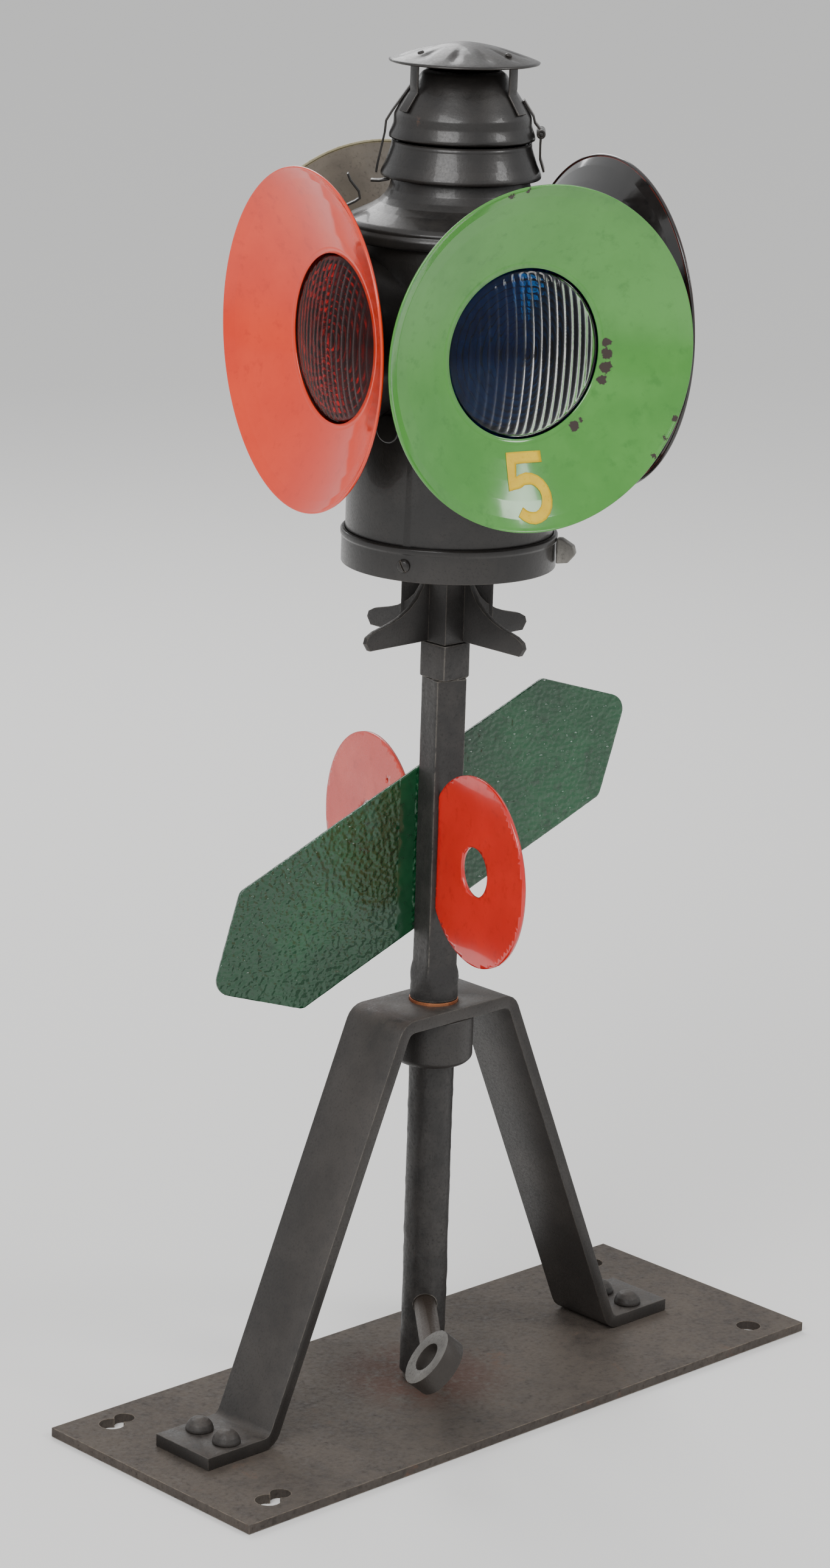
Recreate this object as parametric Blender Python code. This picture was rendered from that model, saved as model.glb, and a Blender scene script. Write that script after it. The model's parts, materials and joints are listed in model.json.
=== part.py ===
"""Low switch stand with target vanes and a four-lens switch lamp.

Metres, +Z up. The spindle's axis is the Z axis and the base plate's underside is z = 0.
Run with: blender --background --python part.py
"""
from math import atan2, cos, degrees, pi, radians, sin, sqrt

import bmesh
import bpy
from mathutils import Matrix, Vector

# ---------------------------------------------------------------- clearances
REST_GAP = 0.0003            # between faces that rest on each other
RUN_GAP = 0.0004             # between a shaft and its bore

# ---------------------------------------------------------------- stand
PLATE_LENGTH = 0.6096
PLATE_WIDTH = 0.2286
PLATE_THICK = 0.0072
PLATE_SHIFT_X = 0.0149       # the plate's middle, seen from the spindle
PLATE_SHIFT_Y = -0.0067
BOLT_HOLE = 0.020
BOLT_HOLE_INSET_X = 0.040
BOLT_HOLE_INSET_Y = 0.024
SECOND_HOLE = 0.016          # drilled beside each left bolt hole, running into it
SECOND_HOLE_SHIFT_X = 0.0150
SECOND_HOLE_SHIFT_Y = 0.0030

YOKE_WIDTH = 0.0606
YOKE_THICK = 0.0100
YOKE_TOP = 0.3220
YOKE_FOOT_END = 0.2508
YOKE_FOOT_BEND = 0.1860
YOKE_TOP_HALF = 0.0560
YOKE_BEND = 0.0170           # outer bend radius
RIVET_X = 0.2200
RIVET_PITCH = 0.0310
RIVET_SHANK = 0.0110
RIVET_HEAD = 0.0220
RIVET_HEAD_RISE = 0.0100

BOSS_OUTER = 0.0630
BOSS_LENGTH = 0.0380
BOSS_ROUND = 0.0040
BUSH_WALL = 0.0010
BUSH_PROUD = 0.0022          # how far the bush stands above the yoke

# ---------------------------------------------------------------- spindle
SPINDLE_TURN = radians(-15.0)
SPINDLE_ROUND = 0.0352
SPINDLE_FOOT = 0.0125        # height of the spindle's lower end
STEP_PAD = 0.0300
BAR_SIDE = 0.0262
BAR_TOP = 0.5800
BAR_BLEND = 0.0200           # height over which round becomes square
BLOCK_SIDE = 0.0275
BLOCK_HEIGHT = 0.0276
TIP_TURN = radians(15.0)     # twist of the block and tip against the bar
TIP_SIDE = 0.0160
TIP_SIDE_TOP = 0.0150
TIP_HEIGHT = 0.0460

CRANK_HEIGHT = 0.0740
CRANK_AZIMUTH = radians(-115.3)
CRANK_RADIUS = 0.1320
CRANK_ROD = 0.0178
CRANK_EYE = 0.0480
CRANK_EYE_HOLE = 0.0240
CRANK_EYE_THICK = 0.0160
CRANK_EYE_ROLL = radians(40.0)
CRANK_EYE_CANT = radians(8.0)    # the eye is bent a little out of the rod's line
CRANK_NUT_FLATS = 0.0300
CRANK_NUT_THICK = 0.0160

# ---------------------------------------------------------------- vanes
VANE_SHEET = 0.0030
VANE_RISE = 0.1230           # the board's and the discs' middles above the yoke
VANE_HEIGHT = YOKE_TOP + VANE_RISE
BOARD_SHIFT = -0.0060
BOARD_TILT = radians(29.0)
BOARD_HALF_WIDTH = 0.0570
BOARD_SHOULDER = 0.1475
BOARD_POINT = 0.0560         # how far the sharp point would pass the shoulder
BOARD_POINT_ROUND = 0.0120
DISC_RADIUS = 0.0735
DISC_HOLE = 0.0385
DISC_CHORD = 0.0580          # distance of the cut side from the disc's middle
DISC_FRONT_SHIFT = -0.0075
DISC_REAR_SHIFT = -0.0190

# ---------------------------------------------------------------- lamp
SOCKET_SIDE = 0.0232
SOCKET_FIN_REACH = 0.0640
SOCKET_FIN_THICK = 0.0040
SOCKET_PLATE_WIDTH = 0.0700
SOCKET_PLATE_SET = 0.0185    # distance of the back plate from the axis
SOCKET_FLANGE = 0.0780
SOCKET_RISE = 0.0620         # from the spindle block's top to the base ring

BODY_RADIUS = 0.0785
BODY_LENGTH = 0.2452         # from the base ring's lower edge to the body's top
LAMP_WALL = 0.0016
RING_BOTTOM = BAR_TOP + BLOCK_HEIGHT + SOCKET_RISE
RING_STEP = 0.0027           # how far the base ring stands out from the body
RING_RADIUS = BODY_RADIUS + RING_STEP
RING_HEIGHT = 0.0206
RING_BEAD = 0.0052
RING_FLOOR_RISE = 0.0046
FLOOR_THICK = 0.0020
BODY_TOP = RING_BOTTOM + BODY_LENGTH
SHOULDER_STEP = 0.0080
SHOULDER_RADIUS = BODY_RADIUS + SHOULDER_STEP
SHOULDER_EDGE = 0.0075
SHOULDER_RISE = 0.0162
SHOULDER_CREST = BODY_TOP + SHOULDER_RISE
NECK_RADIUS = 0.0520
NECK_START_RISE = 0.0372     # neck and band heights are counted from the body's top
NECK_START = BODY_TOP + NECK_START_RISE
NECK_TOP_RISE = 0.0702
NECK_TOP = BODY_TOP + NECK_TOP_RISE
BAND_RADIUS = 0.0595
BAND_TOP_RADIUS = 0.0519
BAND_RISE = 0.0462
BAND_HEIGHT = 0.0266
BAND_BOTTOM = BODY_TOP + BAND_RISE
BAND_TOP = BAND_BOTTOM + BAND_HEIGHT
HOOD_BEAD_RADIUS = 0.0540
HOOD_RADIUS = 0.0508
HOOD_SKIRT = 0.0178
HOOD_CONE = 0.0314
HOOD_BOTTOM = BAND_TOP + 2 * REST_GAP
HOOD_SKIRT_TOP = HOOD_BOTTOM + HOOD_SKIRT
HOOD_TOP = HOOD_SKIRT_TOP + HOOD_CONE
HOOD_TOP_RADIUS = 0.0304
CAP_RADIUS = 0.0565
CAP_LIFT = 0.0071            # from the hood's top to the cap's rim
CAP_RIM = HOOD_TOP + CAP_LIFT
CAP_RISE = 0.0140
STRAP_THICK = 0.0016
STRAP_WIDTH = 0.0110
STRAP_LOW = 0.0035           # strap, leaf and hasp ends are counted from the skirt's top
STRAP_BEND = 0.0175
LEAF_END = 0.0120
HASP_END = 0.0210
STRAP_AZIMUTHS = [radians(-59.6 + 120.0 * n) for n in range(3)]

LENS_RISE = 0.1754           # lens middle above the base ring's lower edge
LENS_HEIGHT = RING_BOTTOM + LENS_RISE
LENS_RADIUS = 0.0640
LENS_REACH = 0.0215
LENS_SEAT = BODY_RADIUS + LENS_REACH    # distance of the lens's edge from the lamp's axis
LENS_EDGE = 0.0036
LENS_CROWN = 0.0125
HOLDER_START = BODY_RADIUS / sqrt(2) - 0.0005    # where neighbouring holders would meet
HOLDER_START_RADIUS = HOLDER_START - 0.0015
HOLDER_WALL = 0.0018
HOLDER_LIP = 0.0028
TARGET_RADIUS = 0.1270
TARGET_DEPTH = 0.0315
TARGET_REACH = LENS_SEAT + TARGET_DEPTH    # distance of the rim from the lamp's axis
TARGET_SHEET = 0.0013
TARGET_LAP = 0.0015          # how far the target laps over the lens's flat edge
TARGET_EYE = LENS_RADIUS - TARGET_LAP

HINGE_AZIMUTH = radians(-30.0)
HINGE_RADIUS = 0.0580
HINGE_RISE = 0.0063
HINGE_HEIGHT = HOOD_BOTTOM + HINGE_RISE
HINGE_PIN = 0.0032
HINGE_BARREL = 0.0068
HINGE_WIDTH = 0.0260
HINGE_MIDDLE = 0.0120
HASP_WIDTH = 0.0120
SCREW_AZIMUTHS = [radians(-143.2 + 120.0 * n) for n in range(3)]
SCREW_RISE = 0.0118
SCREW_HEIGHT = RING_BOTTOM + SCREW_RISE
SCREW_SHANK = 0.0048
SCREW_HEAD = 0.0104
SCREW_HEAD_RISE = 0.0028
LUG_HEIGHT = 0.0190
LUG_AZIMUTH = radians(-38.0)
PEEP_AZIMUTH = radians(-156.0)
PEEP_HOLE = 0.0110
PEEP_COVER = 0.0210
PEEP_GAP = 0.0016            # lets the cover swing past the left lens holder
CATCH_AZIMUTH = radians(152.0)

FOUNT_RADIUS = 0.0440
FOUNT_HEIGHT = 0.0950
FOUNT_WALL = 0.0014
BURNER_NECK = 0.0134
BURNER_RISE = 0.0560         # burner above the fount's top
WICK_RADIUS = 0.0030
KNOB_REACH = 0.0340
KNOB_RADIUS = 0.0070
FILLER_RADIUS = 0.0080

SEGMENTS = 32                # sides of a large round part
SEGMENTS_LENS = 24           # sides of a lens and its holder
SEGMENTS_SMALL = 16

# ---------------------------------------------------------------- helpers


def clear_scene():
    for thing in list(bpy.data.objects):
        bpy.data.objects.remove(thing, do_unlink=True)


def material(name, colour, roughness, metallic):
    mat = bpy.data.materials.new(name)
    mat.use_nodes = True
    shader = mat.node_tree.nodes["Principled BSDF"]
    shader.inputs["Base Color"].default_value = (*colour, 1.0)
    shader.inputs["Roughness"].default_value = roughness
    shader.inputs["Metallic"].default_value = metallic
    return mat


def make_materials():
    return {
        "black_paint": material("black_paint", (0.055, 0.050, 0.045), 0.6, 0.2),
        "plate_steel": material("plate_steel", (0.085, 0.070, 0.055), 0.8, 0.3),
        "bare_iron": material("bare_iron", (0.30, 0.29, 0.27), 0.5, 0.8),
        "bronze": material("bronze", (0.45, 0.20, 0.11), 0.5, 0.9),
        "green_paint": material("green_paint", (0.025, 0.100, 0.055), 0.3, 0.0),
        "red_paint": material("red_paint", (0.75, 0.045, 0.035), 0.25, 0.0),
        "lamp_black": material("lamp_black", (0.050, 0.047, 0.044), 0.5, 0.4),
        "enamel_green": material("enamel_green", (0.22, 0.46, 0.17), 0.15, 0.0),
        "enamel_red": material("enamel_red", (0.80, 0.11, 0.04), 0.15, 0.0),
        "glass_blue": material("glass_blue", (0.03, 0.16, 0.45), 0.05, 0.0),
        "glass_red": material("glass_red", (0.45, 0.02, 0.04), 0.05, 0.0),
        "brass": material("brass", (0.55, 0.38, 0.14), 0.35, 0.9),
        "wick_cotton": material("wick_cotton", (0.75, 0.70, 0.58), 0.9, 0.0),
    }


def empty(name, location=(0, 0, 0), rotation=(0, 0, 0), parent=None):
    thing = bpy.data.objects.new(name, None)
    bpy.context.collection.objects.link(thing)
    thing.location = location
    thing.rotation_euler = rotation
    thing.parent = parent
    return thing


def finish(bm, name, mat, parent=None, place=None, sharp=35.0):
    """Close up a bmesh, give it outward faces and turn it into a named object."""
    bmesh.ops.remove_doubles(bm, verts=bm.verts, dist=1e-6)
    bmesh.ops.recalc_face_normals(bm, faces=bm.faces)
    mesh = bpy.data.meshes.new(name)
    bm.to_mesh(mesh)
    bm.free()
    mesh.shade_smooth()
    mesh.set_sharp_from_angle(angle=radians(sharp))
    thing = bpy.data.objects.new(name, mesh)
    bpy.context.collection.objects.link(thing)
    thing.parent = parent
    if place is not None:
        thing.matrix_local = place
    if mat is not None:
        mesh.materials.append(mat)
    return thing


def cutter(thing):
    thing.hide_render = True
    thing.display_type = "WIRE"
    return thing


def combine(thing, other, operation):
    """Boolean modifier with the EXACT solver; the other object becomes a cutter."""
    step = thing.modifiers.new(operation.title(), "BOOLEAN")
    step.operation = operation
    step.solver = "EXACT"
    step.object = cutter(other)


def cut(thing, other):
    combine(thing, other, "DIFFERENCE")


def join(thing, other):
    combine(thing, other, "UNION")


def radial(azimuth, radius=0.0, height=0.0):
    """Frame at a radius, its X outwards along the azimuth and its Z up."""
    return (Matrix.Rotation(azimuth, 4, "Z")
            @ Matrix.Translation((radius, 0.0, height)))


def outward(azimuth, radius=0.0, height=0.0):
    """Frame whose Z points outwards along the azimuth and whose X points down."""
    return radial(azimuth, radius, height) @ Matrix.Rotation(pi / 2, 4, "Y")


def arc(centre, radius, start, end, steps):
    """Points of an arc in a plane, from one angle in degrees to another."""
    points = []
    for n in range(steps + 1):
        angle = radians(start + (end - start) * n / steps)
        points.append((centre[0] + radius * cos(angle), centre[1] + radius * sin(angle)))
    return points


def rounded(points, radii, steps=4):
    """An open path with its inner corners rounded; radii has one value for each corner."""
    path = [Vector(points[0])]
    for before, here, after, radius in zip(points, points[1:], points[2:], radii):
        corner = Vector(here)
        back = (Vector(before) - corner).normalized()
        ahead = (Vector(after) - corner).normalized()
        half = back.angle(ahead) / 2
        reach = radius / (sin(half) / cos(half))
        first = corner + back * reach
        last = corner + ahead * reach
        centre = corner + (back + ahead).normalized() * (radius / sin(half))
        start = atan2(*(first - centre).yx)
        sweep = atan2(*(last - centre).yx) - start
        sweep = (sweep + pi) % (2 * pi) - pi
        for n in range(steps + 1):
            angle = start + sweep * n / steps
            path.append(centre + Vector((cos(angle), sin(angle))) * radius)
    path.append(Vector(points[-1]))
    return [tuple(p) for p in path]


def strip(path, thick):
    """Closed outline of a strip of even thickness whose middle line is the path."""
    points = [Vector(p) for p in path]
    left = []
    right = []
    for n, here in enumerate(points):
        before = (here - points[n - 1]).normalized() if n else None
        after = (points[n + 1] - here).normalized() if n + 1 < len(points) else None
        along = before if after is None else after if before is None else (before + after).normalized()
        side = Vector((-along.y, along.x))
        stretch = 1.0
        if before is not None and after is not None:
            stretch = 1.0 / max(0.3, side.dot(Vector((-after.y, after.x))))
        left.append(tuple(here + side * thick / 2 * stretch))
        right.append(tuple(here - side * thick / 2 * stretch))
    return left + right[::-1]


def turned(name, outline, mat, parent=None, place=None, segments=SEGMENTS, sharp=35.0):
    """Solid of revolution about Z from a closed outline of (radius, height) points."""
    bm = bmesh.new()
    verts = [bm.verts.new((max(r, 0.0), 0.0, z)) for r, z in outline]
    edges = [bm.edges.new((verts[n - 1], verts[n])) for n in range(len(verts))]
    bmesh.ops.spin(bm, geom=verts + edges, cent=(0, 0, 0), axis=(0, 0, 1), angle=2 * pi,
                   steps=segments, use_merge=True)
    bmesh.ops.remove_doubles(bm, verts=bm.verts, dist=1e-6)
    bmesh.ops.dissolve_degenerate(bm, edges=bm.edges, dist=1e-7)
    return finish(bm, name, mat, parent, place, sharp)


def prism(name, outline, depth, mat, parent=None, place=None, sharp=35.0):
    """Outline in the XZ plane, extruded along Y by depth about y = 0."""
    bm = bmesh.new()
    face = bm.faces.new([bm.verts.new((x, -depth / 2, z)) for x, z in outline])
    grown = bmesh.ops.extrude_face_region(bm, geom=[face])
    verts = [v for v in grown["geom"] if isinstance(v, bmesh.types.BMVert)]
    bmesh.ops.translate(bm, verts=verts, vec=(0, depth, 0))
    return finish(bm, name, mat, parent, place, sharp)


def box(name, size, centre, mat, parent=None, place=None):
    bm = bmesh.new()
    bmesh.ops.create_cube(bm, size=1.0)
    bmesh.ops.scale(bm, verts=bm.verts, vec=size)
    bmesh.ops.translate(bm, verts=bm.verts, vec=centre)
    return finish(bm, name, mat, parent, place)


def rod(name, radius, start, end, mat, parent=None, place=None, segments=SEGMENTS_SMALL):
    """Cylinder along Z from one height to another."""
    outline = [(0.0, start), (radius, start), (radius, end), (0.0, end)]
    return turned(name, outline, mat, parent, place, segments)


def square_ring(bm, side, height, turn=0.0, count=24):
    """Ring of vertices on a square, evenly spaced in angle."""
    ring = []
    for n in range(count):
        angle = 2 * pi * n / count
        reach = side / 2 / max(abs(cos(angle)), abs(sin(angle)))
        ring.append(bm.verts.new((reach * cos(angle + turn), reach * sin(angle + turn), height)))
    return ring


def round_ring(bm, radius, height, count=24):
    angles = [2 * pi * n / count for n in range(count)]
    return [bm.verts.new((radius * cos(a), radius * sin(a), height)) for a in angles]


def skin(bm, rings):
    """Faces between following rings, with both ends closed."""
    for lower, upper in zip(rings, rings[1:]):
        for n in range(len(lower)):
            bm.faces.new((lower[n - 1], lower[n], upper[n], upper[n - 1]))
    bm.faces.new(rings[0])
    bm.faces.new(rings[-1])


# ---------------------------------------------------------------- stand

def yoke_path():
    """Middle line of the bent bar in the XZ plane."""
    low = PLATE_THICK + REST_GAP + YOKE_THICK / 2
    high = YOKE_TOP - YOKE_THICK / 2
    middle_bend = YOKE_BEND - YOKE_THICK / 2
    corners = [(-YOKE_FOOT_END, low), (-YOKE_FOOT_BEND, low), (-YOKE_TOP_HALF, high),
               (YOKE_TOP_HALF, high), (YOKE_FOOT_BEND, low), (YOKE_FOOT_END, low)]
    return rounded(corners, [middle_bend] * 4)


def rivet_places():
    return [(side * RIVET_X, row * RIVET_PITCH / 2) for side in (-1, 1) for row in (-1, 1)]


def make_base_plate(mats):
    plate = box("base_plate", (PLATE_LENGTH, PLATE_WIDTH, PLATE_THICK),
                (PLATE_SHIFT_X, PLATE_SHIFT_Y, PLATE_THICK / 2), mats["plate_steel"])
    for side in (-1, 1):
        for row in (-1, 1):
            x = PLATE_SHIFT_X + side * (PLATE_LENGTH / 2 - BOLT_HOLE_INSET_X)
            y = PLATE_SHIFT_Y + row * (PLATE_WIDTH / 2 - BOLT_HOLE_INSET_Y)
            hole = rod("plate_hole_cutter", BOLT_HOLE / 2, -0.01, PLATE_THICK + 0.01, None,
                       place=Matrix.Translation((x, y, 0)))
            cut(plate, hole)
            if side < 0:
                second = (x + SECOND_HOLE_SHIFT_X, y + SECOND_HOLE_SHIFT_Y, 0)
                hole = rod("plate_second_cutter", SECOND_HOLE / 2, -0.01, PLATE_THICK + 0.01, None,
                           place=Matrix.Translation(second))
                cut(plate, hole)
    for x, y in rivet_places():
        hole = rod("plate_rivet_cutter", RIVET_SHANK / 2 + REST_GAP, -0.01, PLATE_THICK + 0.01,
                   None, place=Matrix.Translation((x, y, 0)), segments=16)
        cut(plate, hole)


def make_yoke(mats):
    yoke = prism("yoke", strip(yoke_path(), YOKE_THICK), YOKE_WIDTH, mats["black_paint"])
    bore = SPINDLE_ROUND / 2 + RUN_GAP + BUSH_WALL + REST_GAP
    cut(yoke, rod("yoke_bore_cutter", bore, YOKE_TOP - 0.03, YOKE_TOP + 0.02, None, segments=24))
    for x, y in rivet_places():
        hole = rod("yoke_rivet_cutter", RIVET_SHANK / 2 + REST_GAP, -0.01, 0.03, None,
                   place=Matrix.Translation((x, y, 0)), segments=16)
        cut(yoke, hole)


def make_foot_rivets(mats):
    head_seat = PLATE_THICK + YOKE_THICK + 2 * REST_GAP
    dome = RIVET_HEAD / 2
    bulge = (dome ** 2 + RIVET_HEAD_RISE ** 2) / (2 * RIVET_HEAD_RISE)
    sweep = degrees(atan2(dome, bulge - RIVET_HEAD_RISE))
    crown = arc((0.0, head_seat + RIVET_HEAD_RISE - bulge), bulge, 90.0 - sweep, 90.0, 4)
    outline = [(0.0, 0.0006), (RIVET_SHANK / 2, 0.0006), (RIVET_SHANK / 2, head_seat)] + crown
    for n, (x, y) in enumerate(rivet_places(), start=1):
        turned(f"foot_rivet_{n}", outline, mats["black_paint"],
               place=Matrix.Translation((x, y, 0)), segments=12)


def make_bearing(mats):
    shaft = SPINDLE_ROUND / 2
    bush_inner = shaft + RUN_GAP
    bush_outer = bush_inner + BUSH_WALL
    boss_inner = bush_outer + REST_GAP
    top = YOKE_TOP - YOKE_THICK - REST_GAP
    bottom = top - BOSS_LENGTH
    outer = BOSS_OUTER / 2
    foot = arc((outer - BOSS_ROUND, bottom + BOSS_ROUND), BOSS_ROUND, -90, 0, 3)
    boss = [(boss_inner, bottom)] + foot + [(outer, top), (boss_inner, top)]
    turned("bearing_boss", boss, mats["black_paint"])
    bush = [(bush_inner, bottom), (bush_outer, bottom), (bush_outer, YOKE_TOP + BUSH_PROUD),
            (bush_inner, YOKE_TOP + BUSH_PROUD)]
    turned("bearing_bush", bush, mats["bronze"], segments=24)
    rod("step_bearing", STEP_PAD / 2, PLATE_THICK + REST_GAP, SPINDLE_FOOT - REST_GAP,
        mats["bare_iron"], segments=24)


# ---------------------------------------------------------------- spindle and crank

def make_spindle(mats, turn):
    shaft = SPINDLE_ROUND / 2
    collar = YOKE_TOP + BUSH_PROUD + REST_GAP
    block_top = BAR_TOP + BLOCK_HEIGHT
    bm = bmesh.new()
    rings = [round_ring(bm, shaft, SPINDLE_FOOT),
             round_ring(bm, shaft, collar),
             round_ring(bm, shaft + BUSH_WALL, collar + 0.0004),
             round_ring(bm, shaft + BUSH_WALL, collar + 0.0080),
             square_ring(bm, BAR_SIDE, collar + 0.0080 + BAR_BLEND),
             square_ring(bm, BAR_SIDE, BAR_TOP),
             square_ring(bm, BLOCK_SIDE, BAR_TOP + 0.0010, TIP_TURN),
             square_ring(bm, BLOCK_SIDE, block_top - 0.0006, TIP_TURN),
             square_ring(bm, TIP_SIDE, block_top, TIP_TURN),
             square_ring(bm, TIP_SIDE_TOP, block_top + TIP_HEIGHT, TIP_TURN)]
    skin(bm, rings)
    spindle = finish(bm, "spindle", mats["black_paint"], turn)
    hole = rod("spindle_cross_cutter", CRANK_ROD / 2 + REST_GAP, -0.05, 0.05, None, turn,
               outward(CRANK_AZIMUTH, 0.0, CRANK_HEIGHT))
    cut(spindle, hole)


def make_crank(mats, turn):
    """Eye bolt through the spindle, its eye rolled about the rod, with a nut behind."""
    frame = outward(CRANK_AZIMUTH, 0.0, CRANK_HEIGHT)
    eye_axis = empty("crank_eye_axis", parent=turn)
    eye_axis.matrix_local = frame
    nut_start = SPINDLE_ROUND / 2 + 0.0005
    tail = nut_start + CRANK_NUT_THICK + 0.006
    neck = CRANK_RADIUS - CRANK_EYE / 2 + 0.004
    bolt = rod("eye_bolt", CRANK_ROD / 2, -tail, neck, mats["bare_iron"], eye_axis)
    tilt = (Matrix.Rotation(-CRANK_EYE_ROLL, 4, "Z") @ Matrix.Rotation(-CRANK_EYE_CANT, 4, "X")
            @ Matrix.Rotation(pi / 2, 4, "X"))
    centre = Matrix.Translation((0.0, 0.0, CRANK_RADIUS))
    half = CRANK_EYE_THICK / 2
    eye = rod("eye_blank", CRANK_EYE / 2, -half, half, None, eye_axis, centre @ tilt, 24)
    join(bolt, eye)
    hole = rod("eye_hole_cutter", CRANK_EYE_HOLE / 2, -0.03, 0.03, None, eye_axis,
               centre @ tilt, 20)
    cut(bolt, hole)
    corner = CRANK_NUT_FLATS / sqrt(3)
    hexagon = [(corner * cos(radians(60 * n)), corner * sin(radians(60 * n))) for n in range(6)]
    lift = Matrix.Translation((0, 0, -nut_start - CRANK_NUT_THICK / 2)) @ Matrix.Rotation(pi / 2, 4, "X")
    nut = prism("crank_nut", hexagon, CRANK_NUT_THICK, mats["black_paint"], turn, frame @ lift)
    cut(nut, rod("nut_bore_cutter", CRANK_ROD / 2 + REST_GAP, -tail - 0.01, 0.0, None, turn,
                 frame, 16))


# ---------------------------------------------------------------- vanes

def make_green_board(mats, turn):
    """Pointed board on the spindle's rear face, tilted in its own plane."""
    tip = BOARD_SHOULDER + BOARD_POINT
    corners = [(-BOARD_SHOULDER, BOARD_HALF_WIDTH), (BOARD_SHOULDER, BOARD_HALF_WIDTH), (tip, 0.0),
               (BOARD_SHOULDER, -BOARD_HALF_WIDTH), (-BOARD_SHOULDER, -BOARD_HALF_WIDTH),
               (-tip, 0.0)]
    small = 0.003
    radii = [small, BOARD_POINT_ROUND, small, small, BOARD_POINT_ROUND, small]
    path = rounded([(0.0, BOARD_HALF_WIDTH)] + corners[1:] + [corners[0], (0.0, BOARD_HALF_WIDTH)],
                   radii)
    back = BAR_SIDE / 2 + REST_GAP + VANE_SHEET / 2
    place = (Matrix.Translation((BOARD_SHIFT, back, VANE_HEIGHT))
             @ Matrix.Rotation(-BOARD_TILT, 4, "Y"))
    prism("green_board", path[:-1], VANE_SHEET, mats["green_paint"], turn, place)


def make_red_disc(name, side, shift, start, mats, turn):
    """Disc with one straight side, standing out from the spindle along side * Y."""
    half = degrees(atan2(sqrt(DISC_RADIUS ** 2 - DISC_CHORD ** 2), DISC_CHORD))
    outline = arc((0.0, 0.0), DISC_RADIUS, half, 360.0 - half, 36)
    face = Matrix.Rotation(-side * pi / 2, 4, "Z")
    place = Matrix.Translation((shift, side * (start + DISC_CHORD), VANE_HEIGHT)) @ face
    disc = prism(name, outline, VANE_SHEET, mats["red_paint"], turn, place)
    across = place @ Matrix.Rotation(pi / 2, 4, "X")
    cut(disc, rod(name + "_hole_cutter", DISC_HOLE / 2, -0.02, 0.02, None, turn, across, 20))


def make_vanes(mats, turn):
    make_green_board(mats, turn)
    face = BAR_SIDE / 2 + REST_GAP
    make_red_disc("red_disc_front", -1, DISC_FRONT_SHIFT, face, mats, turn)
    behind_board = face + VANE_SHEET + REST_GAP
    make_red_disc("red_disc_rear", 1, DISC_REAR_SHIFT, behind_board, mats, turn)


# ---------------------------------------------------------------- lamp base

def make_socket(mats, lamp):
    """Cast socket: square sleeve on the tip, four flared feet, a back plate and a flange."""
    bottom = BAR_TOP + BLOCK_HEIGHT + REST_GAP
    flange_top = RING_BOTTOM + RING_FLOOR_RISE - REST_GAP
    half = SOCKET_SIDE / 2
    frame = Matrix.Rotation(TIP_TURN, 4, "Z")
    height = flange_top - bottom
    socket = box("lamp_socket", (SOCKET_SIDE, SOCKET_SIDE, height), (0, 0, bottom + height / 2),
                 mats["black_paint"], lamp, frame)
    fin_low = bottom + 0.0005
    curve = [(0.0640, 0.0060), (0.0625, 0.0105), (0.0560, 0.0140), (0.0400, 0.0180),
             (0.0300, 0.0215), (0.0200, 0.0270), (0.0125, 0.0335), (0.0060, 0.0430)]
    reach = SOCKET_FIN_REACH / curve[0][0]
    fin = [(-0.004, fin_low), (0.0600 * reach, fin_low)]
    fin += [(x * reach, fin_low + z) for x, z in curve]
    fin += [(0.0030, flange_top - 0.001), (-0.004, flange_top - 0.001)]
    inset = half - SOCKET_FIN_THICK / 2 - 0.0004
    for turn_angle, side in ((0.0, -1), (pi / 2, 1), (pi, -1), (-pi / 2, 1)):
        place = (frame @ Matrix.Rotation(turn_angle, 4, "Z")
                 @ Matrix.Translation((half, side * inset, 0.0)))
        join(socket, prism("socket_fin_blank", fin, SOCKET_FIN_THICK, None, lamp, place))
    plate = box("socket_plate_blank", (SOCKET_FIN_THICK, SOCKET_PLATE_WIDTH, height - 0.004),
                (SOCKET_PLATE_SET, 0, bottom + 0.003 + (height - 0.004) / 2 - 0.0015), None, lamp,
                frame @ Matrix.Rotation(pi / 4, 4, "Z"))
    join(socket, plate)
    flange = rod("socket_flange_blank", SOCKET_FLANGE / 2, flange_top - 0.003, flange_top,
                 None, lamp, segments=32)
    join(socket, flange)
    bore = TIP_SIDE + 2 * RUN_GAP
    top = BAR_TOP + BLOCK_HEIGHT + TIP_HEIGHT + 0.002
    cut(socket, box("socket_bore_cutter", (bore, bore, top - bottom + 0.02),
                    (0, 0, (top + bottom - 0.02) / 2), None, lamp, frame))


def screw_cut(thing, lamp):
    for azimuth in SCREW_AZIMUTHS:
        hole = rod("screw_hole_cutter", SCREW_SHANK / 2 + REST_GAP, -0.02, 0.02, None, lamp,
                   outward(azimuth, BODY_RADIUS, SCREW_HEIGHT), 12)
        cut(thing, hole)


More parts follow.
